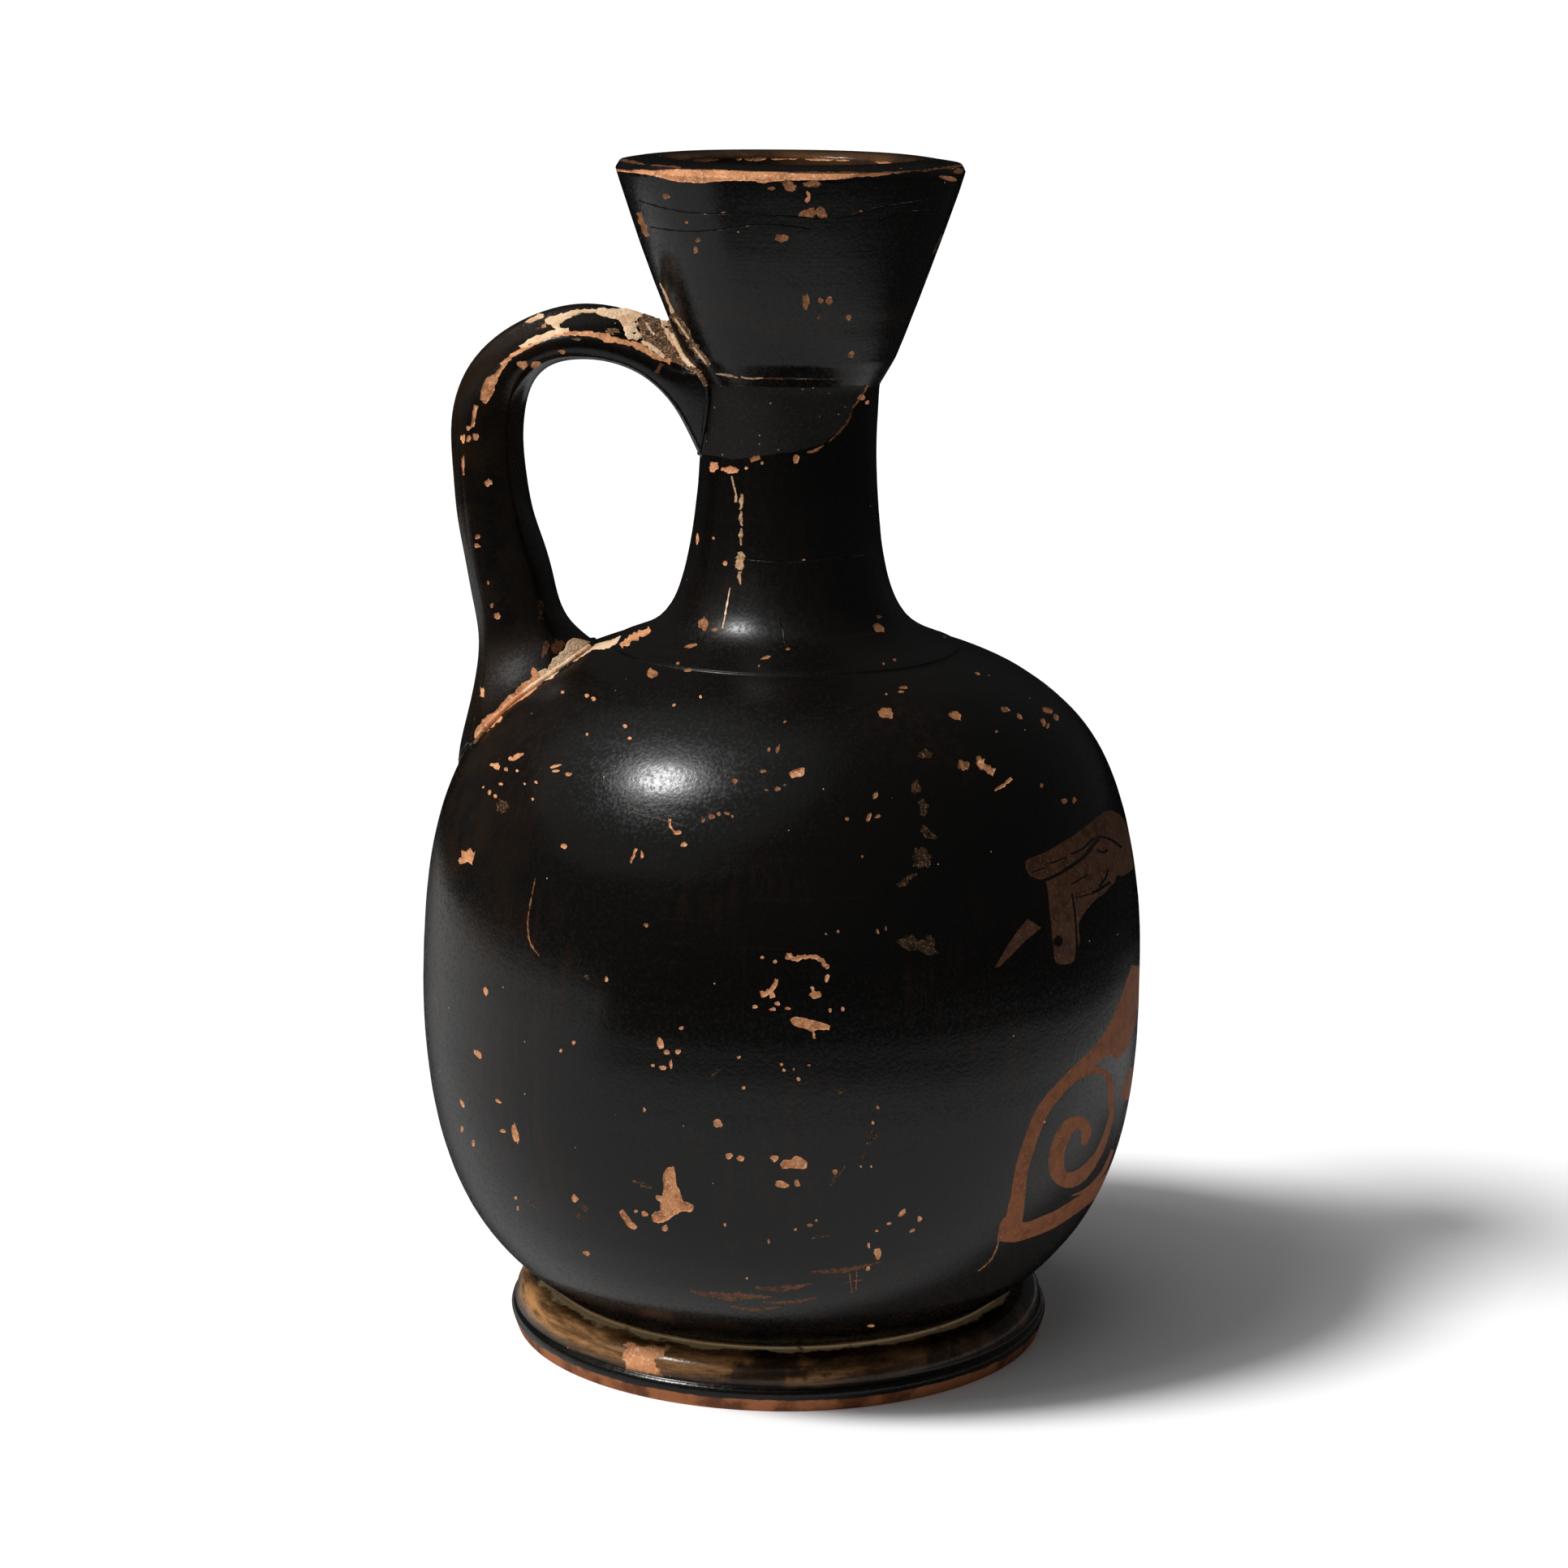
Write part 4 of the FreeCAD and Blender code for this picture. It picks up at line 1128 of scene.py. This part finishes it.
# Wear and repair on the handle and where it joins the pot, from the picture
strapWear = {
    "crust": [
        [(789, 384), (800, 388), (812, 392), (824, 391), (829, 402), (838, 414), (849, 430), (862, 444),
         (870, 453), (861, 461), (849, 457), (838, 449), (821, 443), (812, 433), (799, 423), (789, 413),
         (786, 400)],
    ],
    "plaster": [
        [(733, 380), (756, 380), (766, 379), (778, 380), (790, 383), (791, 389), (784, 393), (786, 405),
         (791, 415), (784, 420), (776, 418), (771, 414), (768, 400), (760, 393), (748, 391), (738, 388),
         (733, 386)],
        [(670, 393), (682, 389), (696, 385), (715, 381), (733, 381), (733, 386), (720, 385), (710, 388),
         (697, 394), (690, 399), (689, 403), (701, 405), (703, 409), (690, 411), (684, 405), (678, 401),
         (671, 398)],
        [(648, 395), (656, 390), (664, 386), (671, 387), (669, 391), (660, 394), (652, 397)],
        [(814, 393), (825, 392), (828, 402), (836, 415), (839, 422), (837, 428), (829, 425), (822, 415),
         (819, 406), (815, 400)],
        [(836, 436), (846, 434), (855, 443), (853, 448), (847, 449), (839, 443)],
    ],
    "strips": [
        ([(826, 445), (809, 438), (788, 426), (766, 421), (744, 415), (725, 411), (710, 410), (690, 411),
         (673, 416), (655, 425), (640, 432), (627, 441), (618, 449)], [6, 8, 7, 7, 8, 7, 5, 5, 4, 5, 5, 6,
         6], "clay"),
        ([(587, 499), (584, 512), (582, 526)], [5, 4, 4], "clay"),
        ([(570, 562), (570, 574), (571, 586)], [3, 3, 2], "clay"),
        ([(816, 447), (812, 453), (809, 460)], [6, 5, 6], "rust"),
        # a whitish strip along the handle's ridge: partly cream filler, partly a painted highlight
        ([(640, 427), (654, 420), (668, 414), (684, 409), (700, 406)], [4, 6, 6, 5, 4], "plaster"),
        ([(791, 420), (800, 425), (810, 432), (819, 439)], [4, 5, 6, 3], "plaster"),
        ([(796, 398), (801, 406), (806, 412)], [2, 3, 2], "plaster"),
        ([(851, 447), (857, 451), (863, 455)], [3, 5, 3], "clay"),
        ([(594, 846), (594, 858)], [5, 4], "clay"),
        ([(667, 740), (667, 762)], [8, 6], "brown"),
    ],
    "spots": [(577, 527, 7, 7), (570, 541, 6, 13, -10), (586, 538, 8, 9), (577, 541, 5, 9, 20),
        (602, 595, 9, 9), (644, 450, 12, 11), (660, 450, 12, 9), (588, 661, 6, 6), (588, 673, 7, 6),
        (601, 718, 3, 5), (605, 746, 5, 5), (612, 759, 7, 10), (670, 401, 8, 6, -30), (692, 434, 8, 6)],
    "pits": [(839, 430, 7, 5), (783, 397, 4, 3), (782, 411, 5, 3), (822, 403, 6, 3)],
    "stains": [(754, 408, 16, 7, 12), (711, 418, 10, 4), (663, 404, 6, 3)],
    "patch": [(618, 449), (626, 447), (619, 456), (614, 464), (611, 475), (605, 490), (598, 498),
        (591, 492), (592, 481), (599, 466), (610, 460)],
    "root": [(662, 828), (670, 826), (677, 822), (679, 813), (692, 804), (700, 789), (707, 786), (720, 788),
        (733, 791), (757, 785), (765, 781), (759, 791), (748, 797), (731, 798), (713, 809), (692, 822),
        (676, 836), (668, 838)],
    "rootClay": [(584, 908), (587, 897), (598, 883), (611, 876), (627, 857), (644, 842), (655, 837),
        (654, 824), (659, 822), (662, 829), (669, 838), (657, 850), (631, 868), (611, 883), (598, 896),
        (588, 908)],
    "rootStain": [(688, 796, 17, 15, -20), (672, 799, 6, 22, 10)],
    "cupLines": [
        ([(811, 350), (816, 360), (821, 371), (827, 388)], [1.5, 2.5, 3, 4], "plaster"),
        ([(826, 388), (839, 405), (852, 425), (864, 443), (872, 453)], [8, 10, 10, 9, 5], "crust"),
        ([(829, 393), (838, 406), (847, 419)], [2.5, 3, 2], "plaster"),
        ([(852, 429), (861, 440), (869, 450)], [2, 2.5, 2], "plaster"),
    ],
}


def layLines(lines, hits):
    return [mark(finish, hits(strip(path, widths)), 0.1 if finish == "clay" else 0, 0.12)
            for path, widths, finish in lines]


def rootMarks(hits):
    found = [mark("clay", hits(raggedLoop(strapWear["rootClay"], 0.5, 3.5)), 0.05, 0.12),
             mark("plaster", hits(raggedLoop(strapWear["root"], 0.5, 3.5)), -0.05, 0.12)]
    return found + [mark("rust", hits(ellipse(*spot, ragged=0.3))) for spot in strapWear["rootStain"]]


# The far edge and the back of the handle are worn in the same way
farWear = {"sides": (0.14, 0.86), "count": 9, "ends": (8, 12), "length": (0.5, 5.0), "width": (0.4, 0.9)}


def farStrapWear():
    w = farWear
    found = []
    for side in w["sides"]:
        for _ in range(w["count"]):
            turn = side + rough.normal(0, 0.02)
            run = rough.uniform(w["ends"][0], strapRuns[-1] - w["ends"][1])
            length, width = rough.uniform(*w["length"]), rough.uniform(*w["width"])
            steps = np.linspace(0, math.tau, 14, endpoint=False)
            bend = 1 + rough.normal(0, 0.15, 14)
            across, along = width / 2 * np.sin(steps) * bend, length / 2 * np.cos(steps) * bend
            found.append(mark("clay", np.stack([turn + across / 40, run + along], 1), 0.08, 0.1))
    return found


def strapMarks():
    w = strapWear
    found = []
    for finish, lift in (("crust", -0.05), ("plaster", -0.09)):
        found += [mark(finish, strapHits(raggedLoop(loop, 0.7, 3.2)), lift, 0.15) for loop in w[finish]]
    found += rootMarks(strapHits)
    found += [mark("crust", strapHits(ellipse(*spot, ragged=0.3))) for spot in w["stains"]]
    found += layLines(w["strips"], strapHits)
    found += [mark("gloss", strapHits(ellipse(*spot, ragged=0.25)), 0.15, 0.12) for spot in w["pits"]]
    found.append(mark("clay", strapHits(raggedLoop(w["patch"], 0.5, 3.5)), 0.12, 0.12))
    found += [mark("clay", strapHits(ellipse(*spot)), 0.08, 0.1) for spot in w["spots"]]
    return found + farStrapWear()


def wholePotMarks():
    found = ornamentMarks() + picturedMarks() + hiddenMarks()
    return found + rootMarks(potHits) + layLines(strapWear["cupLines"], potHits)


def buildPot():
    m = outlineMarks
    split = m["neck"] + 9.0      # from here up the rows are finer
    limits = [("recess", m["recess"] + 0.4, m["ring"]), ("ring", m["ring"], m["foot"]),
              ("foot", m["foot"], m["body"]), ("body", m["body"], split),
              ("neck", split, m["cup"]), ("cup", m["cup"], m["lip"]), ("lip", m["lip"], m["funnel"]),
              ("funnel", m["funnel"], m["inside"]), ("inside", m["inside"], m["end"] - 0.4)]
    rows, starts = [], {}
    for name, start, end in limits:
        starts[name] = max(0, len(rows) - 1)
        part = list(rowsOf(start, end, skin["maxStep"][name]))
        rows += part if not rows else part[1:]
    rows = np.array(rows)
    bands = [(starts["body"], starts["neck"]), (starts["neck"], starts["inside"])]
    spread = lambda first, last: math.tau * placesAt(
        np.linspace(first, last, 50), outlineRun, outlinePath)[:, 0].mean()
    bareAt = lambda run: (run < m["foot"]) | (run > m["inside"])
    shape = layCloth(skin["columns"], rows, spread, bands, wholePotMarks(), potPoint, potNormal, bareAt)
    return meshObject("blackGlossPot", *shape)


def buildStrap():
    rows = np.linspace(0, strapRuns[-1], int(strapRuns[-1] / strap["rowStep"]))
    around = np.linalg.norm(np.roll(strapPoints, -1, axis=1) - strapPoints, axis=2).sum(1)
    spread = lambda first, last: around.mean()
    shape = layCloth(strap["columns"], rows, spread, [(1, len(rows) - 2)], strapMarks(), strapPoint,
                     strapNormal, lambda run: run < 0)
    return meshObject("strapHandle", *shape)


def lowerThickness(p):
    fade = (p[0] - joints["clayEnd"]) / joints["fadeLength"] + 1
    return joints["lowerRadius"] * min(1, max(joints["thinnest"], fade))


def lowerFinish(p):
    j = joints
    if p[1] > j["glossBehind"] or p[0] < j["clayEnd"]:
        return "gloss"
    return "plaster" if p[0] > j["creamEnd"] else "clay"


def upperThickness(p):
    return joints["upperRadius"] if p[2] > joints["tailBelow"] else joints["tailRadius"]


def upperFinish(p):
    if p[1] > joints["fillFrom"] or p[2] < joints["crustAbove"]:
        return "gloss"
    low, high = joints["plasterHeights"]
    return "plaster" if low < p[2] < high else "crust"


pieceOfPot = buildPot()
print("stage: pot skin", len(pieceOfPot.data.polygons))
handleShape = combine(buildStrap(), [hollowSpace()], "DIFFERENCE")
beads = [bead("lowerBead", meetingLine(*joints["lowerRings"]), lowerThickness, lowerFinish),
         bead("upperBead", meetingLine(*joints["upperRings"]), upperThickness, upperFinish)]
lekythosPiece = combine(pieceOfPot, [handleShape] + beads, "UNION")
settleNormals(lekythosPiece)
print("stage: joined", len(lekythosPiece.data.polygons), "faces")


# Finishes. All patterns are in millimetres of the object's own space.
def node(tree, kind, inputs=(), **settings):
    made = tree.nodes.new("ShaderNode" + kind)
    for name, value in settings.items():
        setattr(made, name, value)
    for name, value in dict(inputs).items():
        if isinstance(value, bpy.types.NodeSocket):
            tree.links.new(value, made.inputs[name])
        else:
            made.inputs[name].default_value = value
    return made


def calc(tree, operation, first, second=0.0):
    return node(tree, "Math", {0: first, 1: second}, operation=operation).outputs[0]


def chained(operation):
    def overAll(tree, first, *others):
        for other in others:
            first = calc(tree, operation, first, other)
        return first
    return overAll


times, plus, largest = chained("MULTIPLY"), chained("ADD"), chained("MAXIMUM")


def fromAxis(tree, x, y):
    return calc(tree, "SQRT", plus(tree, times(tree, x, x), times(tree, y, y)))


def ramp(tree, value, low, high, start=0.0, end=1.0):
    # goes softly from start to end while the value goes from low to high
    settings = {"Value": value, "From Min": low, "From Max": high, "To Min": start, "To Max": end}
    return node(tree, "MapRange", settings, interpolation_type="SMOOTHSTEP").outputs[0]


def noise(tree, vector, scale, detail=2.0, rough=0.5, w=None):
    settings = {"Vector": vector, "Scale": scale, "Detail": detail, "Roughness": rough}
    if w is not None:
        settings["W"] = w
    return node(tree, "TexNoise", settings, noise_dimensions="3D" if w is None else "4D").outputs[0]


def blend(tree, share, first, second):
    opaque = lambda color: color if isinstance(color, bpy.types.NodeSocket) else (*color, 1)
    return node(tree, "Mix", {0: share, 6: opaque(first), 7: opaque(second)}, data_type="RGBA").outputs[2]


def scaled(tree, vector, factors):
    return node(tree, "VectorMath", {0: vector, 1: factors}, operation="MULTIPLY").outputs[0]


def newFinish(name, roughness, specular):
    material = bpy.data.materials.new(name)
    material.use_nodes = True
    tree = material.node_tree
    shader = tree.nodes["Principled BSDF"]
    shader.inputs["Roughness"].default_value = roughness
    shader.inputs["Specular IOR Level"].default_value = specular
    place = scaled(tree, node(tree, "TexCoord").outputs["Object"], (1000, 1000, 1000))
    return material, tree, shader, place


def addBump(tree, shader, height, depth):
    # depth is mm between the height's 0 and 1
    bump = node(tree, "Bump", {"Height": height, "Distance": depth * mm, "Strength": 1.0})
    tree.links.new(bump.outputs[0], shader.inputs["Normal"])


def speckles(tree, place, cell, size, share):
    # small round dots: cell is their spacing and size their radius in mm, share says how many cells
    # have one
    cells = node(tree, "TexVoronoi", {"Vector": place, "Scale": 1 / cell, "Randomness": 1.0})
    dot = ramp(tree, cells.outputs["Distance"], size / cell, size * 0.5 / cell)
    drawn = node(tree, "SeparateColor", {0: cells.outputs["Color"]}).outputs[0]
    return times(tree, dot, calc(tree, "GREATER_THAN", drawn, 1 - share))


clays = {
    "bareClay": {"base": (0.62, 0.265, 0.115), "pale": (0.86, 0.52, 0.32), "dark": (0.33, 0.125, 0.048)},
    "oldClay": {"base": (0.30, 0.118, 0.045), "pale": (0.50, 0.25, 0.12), "dark": (0.12, 0.045, 0.018)},
    "plasterFill": {"base": (0.80, 0.55, 0.34), "pale": (0.86, 0.70, 0.52), "dark": (0.62, 0.36, 0.19)},
    "crustFill": {"base": (0.16, 0.075, 0.032), "pale": (0.80, 0.53, 0.33), "dark": (0.030, 0.014, 0.006)},
    "paleCrack": {"base": (0.50, 0.30, 0.16), "pale": (0.80, 0.60, 0.40), "dark": (0.16, 0.075, 0.03)},
    "reservedClay": {"base": (0.21, 0.070, 0.026), "pale": (0.30, 0.125, 0.055),
                     "dark": (0.14, 0.044, 0.016)},
    # a darker copy of the reserved clay: painted shade for the figure's fold and point on the pot's shaded
    # right side
    "shadedReserve": {"base": (0.070, 0.028, 0.012), "pale": (0.15, 0.065, 0.030),
                    "dark": (0.040, 0.015, 0.007)},
    "brownGloss": {"base": (0.030, 0.015, 0.007), "pale": (0.27, 0.14, 0.06), "dark": (0.008, 0.006, 0.004)},
    "rustGloss": {"base": (0.10, 0.034, 0.012), "pale": (0.24, 0.095, 0.035), "dark": (0.020, 0.009, 0.005)},
}


def clayColor(tree, place, colors, scale=1.0):
    broad = noise(tree, place, 0.5 * scale, 4, 0.6)
    fine = noise(tree, place, 2.6 * scale, 3, 0.65)
    color = blend(tree, ramp(tree, broad, 0.42, 0.68), colors["base"], colors["dark"])
    return blend(tree, ramp(tree, fine, 0.5, 0.72), color, colors["pale"]), fine


gloss = {
    "black": (0.0034, 0.0029, 0.0025), "thin": (0.011, 0.0048, 0.0029), "ochre": (0.015, 0.0080, 0.0033),
    # on the next line, the pale ring colour is a painted highlight along the foot ring's top
    "bronze": (0.44, 0.215, 0.082), "umber": (0.085, 0.042, 0.016), "ringHighlight": (0.95, 0.68, 0.36),
    "speck": (0.50, 0.42, 0.34), "mouth": (0.080, 0.036, 0.013),
    "band": (0.40, 0.145, 0.055), "bandStain": (0.15, 0.048, 0.018),
    # where each colour lies, as ramps over heights or reaches in mm or over a pattern
    "thinMost": 0.7, "thinHeights": (118.0, 92.0, 0.25, 1.0),
    "ochreSide": (-21.0, -44.0), "ochreHeights": (20.0, 70.0), "ochrePatches": (0.36, 0.62, 0.08, 0.8),
    "mouthHeights": (138.0, 146.0), "mouthPatches": (0.35, 0.6, 0.35, 1.0),
    "footTop": (7.6, 7.35), "ringBottom": (3.2, 3.9), "ringPatches": (0.38, 0.68), "waver": 0.9,
    # the ring's bronze thins where black patches lie, towards the bottom, and towards the right, which is
    # painted shade
    "burntPatches": (0.52, 0.62, 0.95, 0.2), "bronzeShadeSide": (2.0, 26.0, 1.0, 0.3),
    "bronzeHeights": (3.7, 5.2, 0.35, 1.0),
    # where the painted highlight on the ring's top lies and where it breaks
    "ringHighlightBottom": (6.74, 6.86), "ringHighlightTop": (7.3, 7.1), "ringHighlightBreaks": (0.26, 0.4),
    "bandTop": (1.82, 1.62), "bandPatches": (0.42, 0.6),
    "creamSpot": (790, 1681), "creamReach": (3.4, 2.9), "creamWaver": 14.0,
    # sheen and relief
    "roughness": 0.18, "specular": 0.21, "flatSheen": 0.5, "neckBaseSheen": 0.1,
    "neckBase": ((82.0, 92.0), (116.0, 104.0)),
    "brushedSheen": (0.3, 0.7, -0.01, 0.02), "grainSheen": (0.42, 0.72, -0.01, 0.14),
    "grain": 0.019, "brush": 0.010, "brushHeights": (96.0, 134.0), "mottle": 0.05,
}


def glossPatterns(tree, place):
    # the patterns that the gloss's colour, sheen and relief share
    x, y, z = node(tree, "SeparateXYZ", {0: place}).outputs
    reach = fromAxis(tree, x, y)
    return {
        "x": x, "z": z, "reach": reach,
        "brushed": noise(tree, scaled(tree, place, (0.03, 0.03, 0.9)), 1.0, 4, 0.6, times(tree, reach, 0.9)),
        "lines": noise(tree, scaled(tree, place, (0.04, 0.04, 3.2)), 1.0, 3, 0.6, times(tree, reach, 3.0)),
        "upright": noise(tree, scaled(tree, place, (0.9, 0.9, 0.05)), 1.0, 4, 0.65),
        "clouds": noise(tree, place, 0.045, 3),
        "mottle": noise(tree, place, 0.16, 4, 0.6),
        "grain": noise(tree, place, 2.1, 2, 0.55),
    }


def slipColor(tree, place, p):
    # black slip, brown where it is thin by streaks and clouds; gives the light specks too
    g = gloss
    thin = times(tree, ramp(tree, p["clouds"], 0.46, 0.68), ramp(tree, p["upright"], 0.42, 0.66))
    streaks = times(tree, ramp(tree, p["brushed"], 0.56, 0.72), ramp(tree, p["mottle"], 0.45, 0.7))
    thin = calc(tree, "MINIMUM", plus(tree, thin, streaks), g["thinMost"])
    color = blend(tree, times(tree, thin, ramp(tree, p["z"], *g["thinHeights"])), g["black"], g["thin"])
    # the handle and the pot near it have an olive-brown cast
    ochre = times(tree, ramp(tree, p["x"], *g["ochreSide"]), ramp(tree, p["z"], *g["ochreHeights"]),
                  ramp(tree, p["mottle"], *g["ochrePatches"]))
    color = blend(tree, ochre, color, g["ochre"])
    mouth = times(tree, ramp(tree, p["reach"], pot["lipTopRadius"], pot["mouthRadius"]),
                  ramp(tree, p["z"], *g["mouthHeights"]), ramp(tree, p["mottle"], *g["mouthPatches"]))
    color = blend(tree, mouth, color, g["mouth"])
    dots = speckles(tree, place, 3.1, 0.13, 0.45)
    return blend(tree, dots, color, g["speck"]), dots


def footColor(tree, place, p, color):
    # the foot's bare band, bronze ring, cream spot and a pale line on the ring's top that is a painted
    # highlight; gives where it is unglazed too
    g = gloss
    uneven = calc(tree, "SUBTRACT", p["mottle"], 0.5)
    wavy = plus(tree, p["z"], times(tree, uneven, g["waver"]))
    ring = times(tree, ramp(tree, wavy, *g["ringBottom"]), ramp(tree, p["z"], *g["footTop"]))
    patches = noise(tree, scaled(tree, place, (0.35, 0.35, 3.0)), 0.25, 5, 0.7)
    metal = blend(tree, ramp(tree, patches, *g["ringPatches"]), g["umber"], g["bronze"])
    # less bronze where black patches lie and towards the bottom; less towards the right too, which is
    # painted shade
    bronzeShown = times(tree, ramp(tree, noise(tree, place, 0.09, 4, 0.7), *g["burntPatches"]),
                  ramp(tree, p["x"], *g["bronzeShadeSide"]), ramp(tree, wavy, *g["bronzeHeights"]))
    color = blend(tree, times(tree, ring, bronzeShown), color, metal)
    spot = potHits([g["creamSpot"]])[0]
    ends = {0: place, 1: tuple(potPoint(*spot))}
    away = node(tree, "VectorMath", ends, operation="DISTANCE").outputs["Value"]
    away = plus(tree, away, times(tree, uneven, g["creamWaver"]))
    cream = times(tree, ring, ramp(tree, away, *g["creamReach"]))
    color = blend(tree, cream, color, clayColor(tree, place, clays["bareClay"])[0])
    # a pale golden line along the ring's top edge, broken in places: a painted highlight
    pale = times(tree, ramp(tree, wavy, *g["ringHighlightBottom"]), ramp(tree, p["z"], *g["ringHighlightTop"]),
                 ramp(tree, noise(tree, place, 0.35, 3), *g["ringHighlightBreaks"]))
    color = blend(tree, pale, color, g["ringHighlight"])
    bare = ramp(tree, wavy, *g["bandTop"])
    band = blend(tree, ramp(tree, p["mottle"], *g["bandPatches"]), g["band"], g["bandStain"])
    return blend(tree, bare, color, band), largest(tree, bare, cream)


def makeBlackGloss():
    g = gloss
    material, tree, shader, place = newFinish("blackGloss", g["roughness"], g["specular"])
    p = glossPatterns(tree, place)
    color, dots = slipColor(tree, place, p)
    color, bare = footColor(tree, place, p, color)
    tree.links.new(color, shader.inputs["Base Color"])

    low, high = g["neckBase"]
    neckBase = times(tree, ramp(tree, p["z"], *low), ramp(tree, p["z"], *high), g["neckBaseSheen"])
    flat = times(tree, largest(tree, bare, dots), g["flatSheen"])
    sheen = plus(tree, ramp(tree, p["brushed"], *g["brushedSheen"]),
                 ramp(tree, p["grain"], *g["grainSheen"]), g["roughness"], neckBase, flat)
    tree.links.new(sheen, shader.inputs["Roughness"])

    brush = ramp(tree, p["z"], *g["brushHeights"], g["brush"] * 0.3, g["brush"])
    relief = plus(tree, times(tree, p["grain"], g["grain"]), times(tree, p["lines"], brush),
                  times(tree, p["mottle"], g["mottle"]))
    addBump(tree, shader, relief, 1.0)
    return material


def makeBareClay(name, bumpDepth, grainScale):
    material, tree, shader, place = newFinish(name, 0.82, 0.25)
    color, fine = clayColor(tree, place, clays[name], grainScale)
    tree.links.new(color, shader.inputs["Base Color"])
    pits = noise(tree, place, 1.1 * grainScale, 4, 0.7)
    addBump(tree, shader, plus(tree, fine, times(tree, pits, 1.5)), bumpDepth)
    return material


def makeWornGloss(name, low, high, bumpDepth, grainScale=1.0):
    # a finish that is partly glossy; low and high are its least and most roughness
    material, tree, shader, place = newFinish(name, low, 0.16)
    color, fine = clayColor(tree, place, clays[name], grainScale)
    tree.links.new(color, shader.inputs["Base Color"])
    tree.links.new(ramp(tree, fine, 0.3, 0.7, low, high), shader.inputs["Roughness"])
    addBump(tree, shader, fine, bumpDepth)
    return material


mattColors = {"black": (0.0045, 0.0038, 0.0032), "worn": (0.022, 0.017, 0.012), "speck": (0.34, 0.27, 0.20)}


def makeMattPatch():
    material, tree, shader, place = newFinish("mattPatch", 0.55, 0.25)
    grain = noise(tree, place, 3.4, 3, 0.7)
    color = blend(tree, ramp(tree, grain, 0.45, 0.75), mattColors["black"], mattColors["worn"])
    color = blend(tree, speckles(tree, place, 1.1, 0.14, 0.4), color, mattColors["speck"])
    tree.links.new(color, shader.inputs["Base Color"])
    addBump(tree, shader, grain, 0.11)
    return material


lekythosPiece.data.materials.clear()
made = {
    "gloss": makeBlackGloss(),
    "clay": makeBareClay("bareClay", 0.08, 1.0),
    "reserve": makeWornGloss("reservedClay", 0.5, 0.68, 0.02),
    "plaster": makeBareClay("plasterFill", 0.2, 0.7),
    "brown": makeWornGloss("brownGloss", 0.34, 0.62, 0.05, 1.4),
    "oldClay": makeBareClay("oldClay", 0.06, 1.2),
    "matt": makeMattPatch(),
    "dark": makeWornGloss("shadedReserve", 0.5, 0.68, 0.02),
    "crust": makeBareClay("crustFill", 0.3, 1.5),
    "rust": makeWornGloss("rustGloss", 0.3, 0.6, 0.03, 1.6),
    "pale": makeBareClay("paleCrack", 0.08, 2.0),
}
for name in finishNames:
    lekythosPiece.data.materials.append(made[name])
given = np.empty(len(lekythosPiece.data.polygons), np.int32)
lekythosPiece.data.attributes["finish"].data.foreach_get("value", given)
lekythosPiece.data.polygons.foreach_set("material_index", given)
lekythosPiece.shadow_terminator_shading_offset = 0.2      # no facets where the light grazes
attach(lekythosPiece, "root")
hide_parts("lekythos")
print("stage: finishes")

# Floor and light
studio = {
    "floorHalf": 30.0, "floorColor": (0.97, 0.97, 0.97), "world": 0.085,
    "towardsSun": (-0.497, -0.272, 0.824),
    # each sun's strength, then its width in degrees
    "suns": {"key": (2.7, 12.0), "halo": (0.85, 27.0), "glow": (0.5, 85.0)},
    # metres from the pot where the white paper ends for the gloss, and how much nearer that is behind it
    "tableEdge": (0.16, 0.26), "tableBehind": 0.27, "behindFrom": (0.05, 0.17),
    "roomColor": (0.03, 0.03, 0.03),
}


def makeFloor():
    half = studio["floorHalf"]
    data = bpy.data.meshes.new("floor")
    corners = [(-half, -half, 0), (half, -half, 0), (half, half, 0), (-half, half, 0)]
    data.from_pydata(corners, [], [(0, 1, 2, 3)])
    floor = bpy.data.objects.new("floor", data)
    bpy.context.scene.collection.objects.link(floor)
    # the gloss mirrors white paper close by and a dim room beyond the table's edge
    material, tree, shader, _ = newFinish("whitePaper", 1.0, 0.0)
    x, y, _ = node(tree, "SeparateXYZ", {0: node(tree, "NewGeometry").outputs["Position"]}).outputs
    behind = calc(tree, "SUBTRACT", times(tree, y, 0.6), x)
    nearer = ramp(tree, behind, *studio["behindFrom"], 0.0, studio["tableBehind"])
    away = calc(tree, "SUBTRACT", fromAxis(tree, x, y), nearer)
    mirrored = node(tree, "LightPath").outputs["Is Glossy Ray"]
    room = times(tree, ramp(tree, away, *studio["tableEdge"]), mirrored)
    tree.links.new(blend(tree, room, studio["floorColor"], studio["roomColor"]), shader.inputs["Base Color"])
    data.materials.append(material)


def makeLights():
    s = studio
    for name, (strength, angle) in s["suns"].items():
        data = bpy.data.lights.new(name, "SUN")
        data.energy, data.angle = strength, math.radians(angle)
        sun = bpy.data.objects.new(name, data)
        sun.rotation_euler = Vector(s["towardsSun"]).to_track_quat("Z", "Y").to_euler()
        bpy.context.scene.collection.objects.link(sun)
    world = bpy.data.worlds.new("studio")
    world.use_nodes = True
    world.node_tree.nodes["Background"].inputs["Color"].default_value = (*[s["world"]] * 3, 1)
    bpy.context.scene.world = world
    bpy.context.scene.view_settings.view_transform = "Standard"


makeFloor()
makeLights()
print("stage: floor and light")
